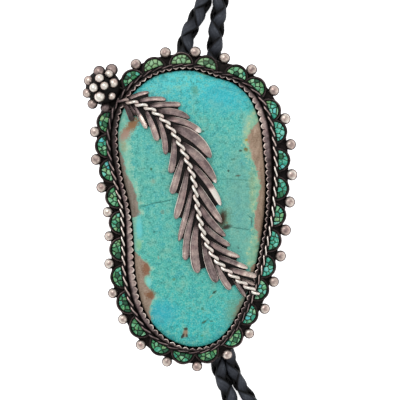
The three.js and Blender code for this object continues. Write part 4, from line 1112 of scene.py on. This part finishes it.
def turquoise():
    """Old turquoise: blue at its ends and greener between, finely mottled, with brown matrix at its sides."""
    paint = Paint("turquoise_matrix")
    flat = paint.scaled(paint.mm, (1, 1, 0))
    x_y = paint.node("SeparateXYZ", {0: flat})
    x, y = x_y.outputs[0], x_y.outputs[1]
    inside = paint.tone_and_light  # distance in from the teeth's tips
    blotch = paint.noise(7.0, 3.0, where=flat)
    mottle = paint.noise(1.5, 4.0, 0.62, where=flat)
    grain = paint.noise(0.42, 3.0, 0.6, where=flat)
    patchy = paint.noise(3.4, 3.0, 0.6, where=paint.node("VectorMath", {0: flat, 1: (31, 7, 3)}).outputs[0])

    def along(height, rows):
        """A ramp over the stone's length. A row is y in millimetres, and a hex code or a grey."""
        first, span = rows[0][0], rows[-1][0] - rows[0][0]
        share = paint.math("MULTIPLY_ADD", height, 1 / span, -first / span, clamp=True)
        return paint.ramp(share, [((at - first) / span, shown) for at, shown in rows])

    colour = along(paint.stir(y, blotch, 14.0), STONE_COLOURS)
    for code, noise, low, high, strength in [
        ("82c2ac", patchy, 0.5, 0.7, 0.75), ("3aaeb4", patchy, 0.49, 0.3, 0.7),
        ("84cfb8", mottle, 0.49, 0.66, 0.7), ("3b928a", mottle, 0.49, 0.34, 0.7),
        ("8fded2", grain, 0.5, 0.66, 0.62), ("368078", grain, 0.48, 0.33, 0.68),
    ]:
        colour = paint.dab(colour, code, noise, low, high, strength)
    colour = paint.dab(colour, "2a7c6c", paint.noise(0.6, 2.0, where=flat), 0.68, 0.74, 0.6)

    jitter = paint.node("TexNoise", {"Vector": flat, "Scale": 0.8, "Detail": 4.0, "Roughness": 0.65})
    shift = paint.node("VectorMath", {0: jitter.outputs["Color"], 1: (0.5, 0.5, 0.5)}, operation="SUBTRACT")

    def warped(amount):
        moved = paint.scaled(shift.outputs[0], (amount, amount, 0))
        return paint.node("VectorMath", {0: flat, 1: moved}, operation="ADD").outputs[0]

    ragged, steady = warped(2.6), warped(0.8)

    def marked(colour, rows, where, rough):
        """Stains and marks: ellipses with ragged edges."""
        for cx, cy, wide, long, turn, soft, strength, code in rows:
            inputs = {"Vector": where, "Location": (cx, cy, 0), "Rotation": (0, 0, math.radians(turn)),
                      "Scale": (wide, long, 1)}
            mapped = paint.node("Mapping", inputs, vector_type="TEXTURE").outputs[0]
            far = paint.node("VectorMath", {0: mapped}, operation="LENGTH").outputs["Value"]
            colour = paint.dab(colour, code, paint.stir(far, grain, rough), 1 + soft, 1 - soft, strength)
        return colour

    def shore(colour, rows, side, rough, soft, strength, shade):
        """Paints the stone on the outer side of a line whose rows are y and x."""
        edge = along(y, [(at, (across - EDGE_LOW) / EDGE_SPAN) for at, across in rows])
        beyond = paint.math("SUBTRACT", x, paint.math("MULTIPLY_ADD", edge, EDGE_SPAN, EDGE_LOW))
        beyond = paint.math("MULTIPLY", beyond, side)
        beyond = paint.stir(paint.stir(beyond, mottle, rough), grain, rough)
        first, last = rows[0][0], rows[-1][0]
        ends = paint.math("MULTIPLY", paint.step(y, first - 0.5, first + 0.5),
                          paint.step(y, last + 0.5, last - 0.5))
        share = paint.math("MULTIPLY", paint.step(beyond, -soft, soft, 0.0, strength), ends)
        return paint.mix(share, colour, shade)

    colour = marked(colour, STONE_CLOUDS, ragged, 0.8)
    pale_right = paint.ramp(mottle, [(0.32, "8fa878"), (0.45, "8cc4a4"), (0.56, "a9cea6"), (0.68, "ccd4a2")])
    pale_left = paint.ramp(mottle, [(0.35, "7cc4ac"), (0.5, "90d0b8"), (0.65, "b2dabe")])
    streaky = paint.noise(1.0, 3.0, 0.6, where=paint.scaled(flat, (1, 0.3, 1)))
    streaks = paint.ramp(streaky, [(0.3, "80634f"), (0.45, "a0836f"), (0.6, "b79a86"), (0.75, "d2b9a4")])
    grains = paint.ramp(grain, [(0.3, "785c4d"), (0.5, "a88a75"), (0.7, "d4baa7")])
    brown = paint.mix(0.35, streaks, grains)
    colour = shore(colour, FRINGE_RIGHT, 1, 5.0, 0.7, 0.75, pale_right)
    colour = shore(colour, FRINGE_LEFT, -1, 3.6, 0.6, 0.75, pale_left)
    colour = shore(colour, TAN_RIGHT, 1, 2.4, 0.3, 0.95, brown)
    dull_brown = paint.mix(paint.step(y, -20, -8, 0.35, 1.0), brown, (0.7, 0.8, 0.9, 1), "MULTIPLY")
    colour = shore(colour, TAN_LEFT, -1, 1.8, 0.3, 0.95, dull_brown)
    colour = marked(colour, STONE_STAINS, ragged, 1.6)
    colour = marked(colour, STONE_MARKS, steady, 0.6)

    # Grime with a painted shadow under the teeth, and grime with painted shade beside the blades.
    grime_and_shadow = paint.step(paint.stir(inside, mottle, 0.3), 0.4, 0.05)
    colour = paint.mix(grime_and_shadow, colour, tint("0c0a09"))
    colour = paint.dab(colour, "14100e", paint.hollow(0.6, samples=8), 0.68, 0.4, 0.85)
    relief = paint.bump(mottle, 0.25, 0.1)
    relief = paint.bump(grain, 0.2, 0.04, relief)
    return paint.finish(
        Base_Color=colour,
        Roughness=paint.step(mottle, 0.3, 0.7, 0.34, 0.46),
        Specular_IOR_Level=0.12,
        Normal=relief,
    )


STONE_AROUND, STONE_RINGS = 260, 46
around = shares(STONE_AROUND)
# Below its dome, from its underside up: how far outside its visible edge, height, and its value, which is the
# distance in from the teeth's tips.
skirt = [
    (STONE_UNDER_BEZEL, STONE_UNDER, -1.0), (0.4, DOME_START - 0.5, -0.4), (0.32, DOME_START - 0.15, -0.32),
]
rings = [[(*beside_stone(share, out), z, value) for share in around] for out, z, value in skirt]
rim = [(beside_stone(share, DOME_OUTSIDE), outward(stone_edge.at(share)[1])) for share in around]
for k in range(STONE_RINGS):
    part = math.sin(math.pi / 2 * (1 - k / STONE_RINGS))
    ring = []
    for place, out in rim:
        away = place - STONE_MIDDLE
        inside = (1 - part) * away.dot(out) - DOME_OUTSIDE + rim_at(place, TIPS_OUT)
        ring.append((*(STONE_MIDDLE + away * part), dome_at(part), inside))
    rings.append(ring)
stone_form = Form()
stone_form.loft(rings)
piece("turquoise_cabochon", stone_form, turquoise(), "turquoise", "turquoise", crease=60)

# ---- chip inlay


def chips():
    """Chips of green and blue-green turquoise, set in dark resin, with pale flecks as painted highlights and
    painted shade on their sides.
    """
    paint = Paint("chip_inlay")
    tone_and_light = paint.tone_and_light
    inner = paint.noise(0.7, 3.0, 0.62)
    colour = paint.ramp(paint.stir(tone_and_light, inner, 0.3), [
        (0.0, "0c1a12"), (0.1, "173627"), (0.2, "246042"), (0.32, "378f58"), (0.45, "62b47c"),
        (0.54, "9ad8a8"), (0.62, "44ae80"), (0.72, "1f9a84"), (0.82, "45bfa4"), (0.92, "86dccb"),
        (1.0, "52c8cc"),
    ])
    y = paint.node("SeparateXYZ", {0: paint.mm}).outputs[1]
    greens = paint.math("MULTIPLY", paint.step(tone_and_light, 0.62, 0.5), paint.step(tone_and_light, 0.25, 0.4))
    # By the last row, the inlay above the stone is paler and yellower.
    for noise, low, high, strength, where, code in [
        (paint.noise(1.9, 2.0), 0.46, 0.6, 0.6, greens, "93b46a"),
        # Pale flecks: painted highlights on the chips.
        (paint.noise(0.45, 2.0), 0.54, 0.66, 0.75, paint.step(tone_and_light, 0.2, 0.45), "b4ecce"),
        (paint.noise(0.6, 3.0, 0.6), 0.56, 0.68, 0.7, 1.0, "12382a"),
        (y, 38, 41, 1.0, paint.step(tone_and_light, 0.15, 0.35, 0.1, 0.5), "a9c290"),
    ]:
        share = paint.math("MULTIPLY", paint.step(noise, low, high, 0.0, strength), where)
        colour = paint.mix(share, colour, tint(code))
    return paint.finish(
        Base_Color=colour,
        Roughness=0.36,
        Specular_IOR_Level=0.25,
        Normal=paint.bump(inner, 0.4, 0.12),
    )


def clip_polygon(polygon, point, normal):
    """The part of a polygon on the side of a line away from normal."""
    kept = []
    for a, b in sides(polygon):
        da, db = (a - point).dot(normal), (b - point).dot(normal)
        if da <= 0:
            kept.append(a)
        if da * db < 0:
            kept.append(a.lerp(b, da / (da - db)))
    return kept


def inset_polygon(polygon, distance):
    """A convex polygon drawn in by a distance."""
    kept = list(polygon)
    for a, b in sides(polygon):
        if (b - a).length < 1e-6 or len(kept) < 3:
            continue
        run = (b - a).normalized()
        out = Vector((run.y, -run.x))
        kept = clip_polygon(kept, a - out * distance, out)
    return kept


def even(polygon, count):
    """The polygon's outline as count points, evenly spaced from its first corner."""
    lengths = [(b - a).length for a, b in sides(polygon)]
    found, i, passed = [], 0, 0.0
    for share in shares(count):
        goal = sum(lengths) * share
        while goal > passed + lengths[i]:
            passed += lengths[i]
            i += 1
        ahead = polygon[(i + 1) % len(polygon)]
        found.append(polygon[i].lerp(ahead, (goal - passed) / max(lengths[i], 1e-9)))
    return found


CHIPS = chips()
CHIP_COUNT, CHIP_APART = 8, 1.14  # in a cell, and the least way between their middles
CHIP_DARK = 0.16  # the share of the chips that are dark
CHIP_CORNERS = 12
BED_TOP, CHIP_FOOT = CELL_TOP - 0.42, CELL_TOP - 0.34
CROWN, CROWN_HALF = 0.35, 3.6  # the inlay's height in a cell's middle, and the way from there to where it is 0
# A chip from its foot up: how far in from its outline, and height.
CHIP_STEPS = [(0.0, -0.35), (0.0, 0.02), (0.08, 0.16), (0.24, 0.28), (0.4, 0.31)]
# Each cell's colour round the rim, from green (0.4) to blue-green (0.85), and how much it varies.
CELL_HUES = [
    (0.5, 0.2), (0.5, 0.08), (0.52, 0.08), (0.54, 0.16), (0.54, 0.14), (0.5, 0.12), (0.72, 0.18),
    (0.82, 0.12), (0.82, 0.1), (0.82, 0.1), (0.64, 0.14), (0.78, 0.1), (0.76, 0.12), (0.6, 0.2),
    (0.66, 0.16), (0.44, 0.14), (0.42, 0.14), (0.44, 0.2), (0.44, 0.16), (0.42, 0.14), (0.46, 0.18),
    (0.5, 0.18), (0.46, 0.14), (0.52, 0.24), (0.5, 0.12), (0.68, 0.28), (0.62, 0.28), (0.54, 0.2), (0.5, 0.2),
]


def scatter(cell, outline, draw):
    """The chips' middles: places in a cell's outline that stand apart."""
    seeds = []
    for _ in range(4000):
        if len(seeds) == CHIP_COUNT:
            break
        seed = cell_place(cell, -0.4, draw.uniform(-1, 1), draw.uniform(0.0, 1.0))
        inside = all((b - a).x * (seed - a).y - (b - a).y * (seed - a).x > 0
                     for a, b in sides(outline) if (b - a).length > 1e-6)
        if inside and all((seed - other).length > CHIP_APART for other in seeds):
            seeds.append(seed)
    return seeds


def chip(form, polygon, middle, draw, hue, spread):
    """A chip in a cell round middle, with a colour and a slant by chance."""
    polygon = inset_polygon(polygon, draw.uniform(0.03, 0.14))
    value = max(0.3, min(1.0, draw.gauss(hue, spread)))
    if draw.random() < CHIP_DARK:
        value = draw.uniform(0.16, 0.28)
    lean = Vector((draw.uniform(-1, 1), draw.uniform(-1, 1))) * 0.16
    rise = draw.uniform(-0.12, 0.1)
    rings = []
    for inset, lift in CHIP_STEPS:
        shape = inset_polygon(polygon, inset) if inset else polygon
        if len(shape) < 3:
            break
        centre = sum(shape, Vector((0, 0))) / len(shape)
        ring = []
        for p in even(shape, CHIP_CORNERS):
            away = (p - middle).length / CROWN_HALF
            z = CHIP_FOOT + CROWN * (1 - away * away) + lift + rise + lean.dot(p - centre)
            # The chip's sloping sides get a darker value: painted shade.
            ring.append((*p, z, value if lift > 0.1 else value * 0.4))
        rings.append(ring)
    if len(rings) > 2:
        form.loft(rings)


filled_cells = [cell for cell in range(CELL_COUNT) if cell != HIDDEN_CELL]
for number, cell in enumerate(filled_cells, 1):
    draw = random.Random(100 + cell)
    outline = cell_outline(cell, -0.26)
    if sum(a.x * b.y - b.x * a.y for a, b in sides(outline)) < 0:
        outline = outline[::-1]
    middle = sum(outline, Vector((0, 0))) / len(outline)
    form = Form()
    form.loft([
        [(*(middle + (p - middle) * share), z, 0.0) for p in outline]
        for share, z in ((1, PLATE_TOP + 0.2), (1, BED_TOP), (0.6, BED_TOP + 0.3))
    ])
    seeds = scatter(cell, outline, draw)
    for seed in seeds:
        polygon = outline
        for other in seeds:
            if other is not seed:
                polygon = clip_polygon(polygon, (seed + other) / 2, (other - seed).normalized())
        chip(form, polygon, middle, draw, *CELL_HUES[cell])
    piece(f"chips_{number:02d}", form, CHIPS, "chip_inlay", f"inlay_{number:02d}", crease=35)

# ---- the clip keeps its solid, in brushed nickel silver

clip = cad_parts["rear_clip"]
clip.data.materials.clear()
clip.data.materials.append(silver("clip_nickel", 0.72, 0.72))

# ---- floor and light, in metres

floor_mesh = bpy.data.meshes.new("floor")
floor_mesh.from_pydata([(-3, -3, 0), (3, -3, 0), (3, 3, 0), (-3, 3, 0)], [], [(0, 1, 2, 3)])
floor = add_object("floor", floor_mesh)
paper = bpy.data.materials.new("paper")
paper.use_nodes = True
for key, value in {
    "Base Color": (0.94, 0.94, 0.94, 1),
    "Roughness": 0.9,
    "Specular IOR Level": 0.2,
    "Emission Color": (1, 1, 1, 1),
    "Emission Strength": 0.75,
}.items():
    paper.node_tree.nodes["Principled BSDF"].inputs[key].default_value = value
floor_mesh.materials.append(paper)

world = bpy.data.worlds.new("studio")
bpy.context.scene.world = world
world.use_nodes = True
background = world.node_tree.nodes["Background"]
background.inputs["Color"].default_value = (1.0, 1.0, 1.0, 1)
background.inputs["Strength"].default_value = 1.0


def softbox(name, place, size, power):
    """A square lamp that faces the slide."""
    light = bpy.data.lights.new(name, "AREA")
    light.size = size
    light.energy = power
    lamp = add_object(name, light)
    lamp.location = place
    lamp.rotation_mode = "QUATERNION"
    lamp.rotation_quaternion = (-Vector(place)).to_track_quat("-Z", "Y")


softbox("key", (-0.35, 0.55, 0.95), 0.5, 5.0)
softbox("fill", (0.6, -0.2, 0.9), 0.6, 1.6)
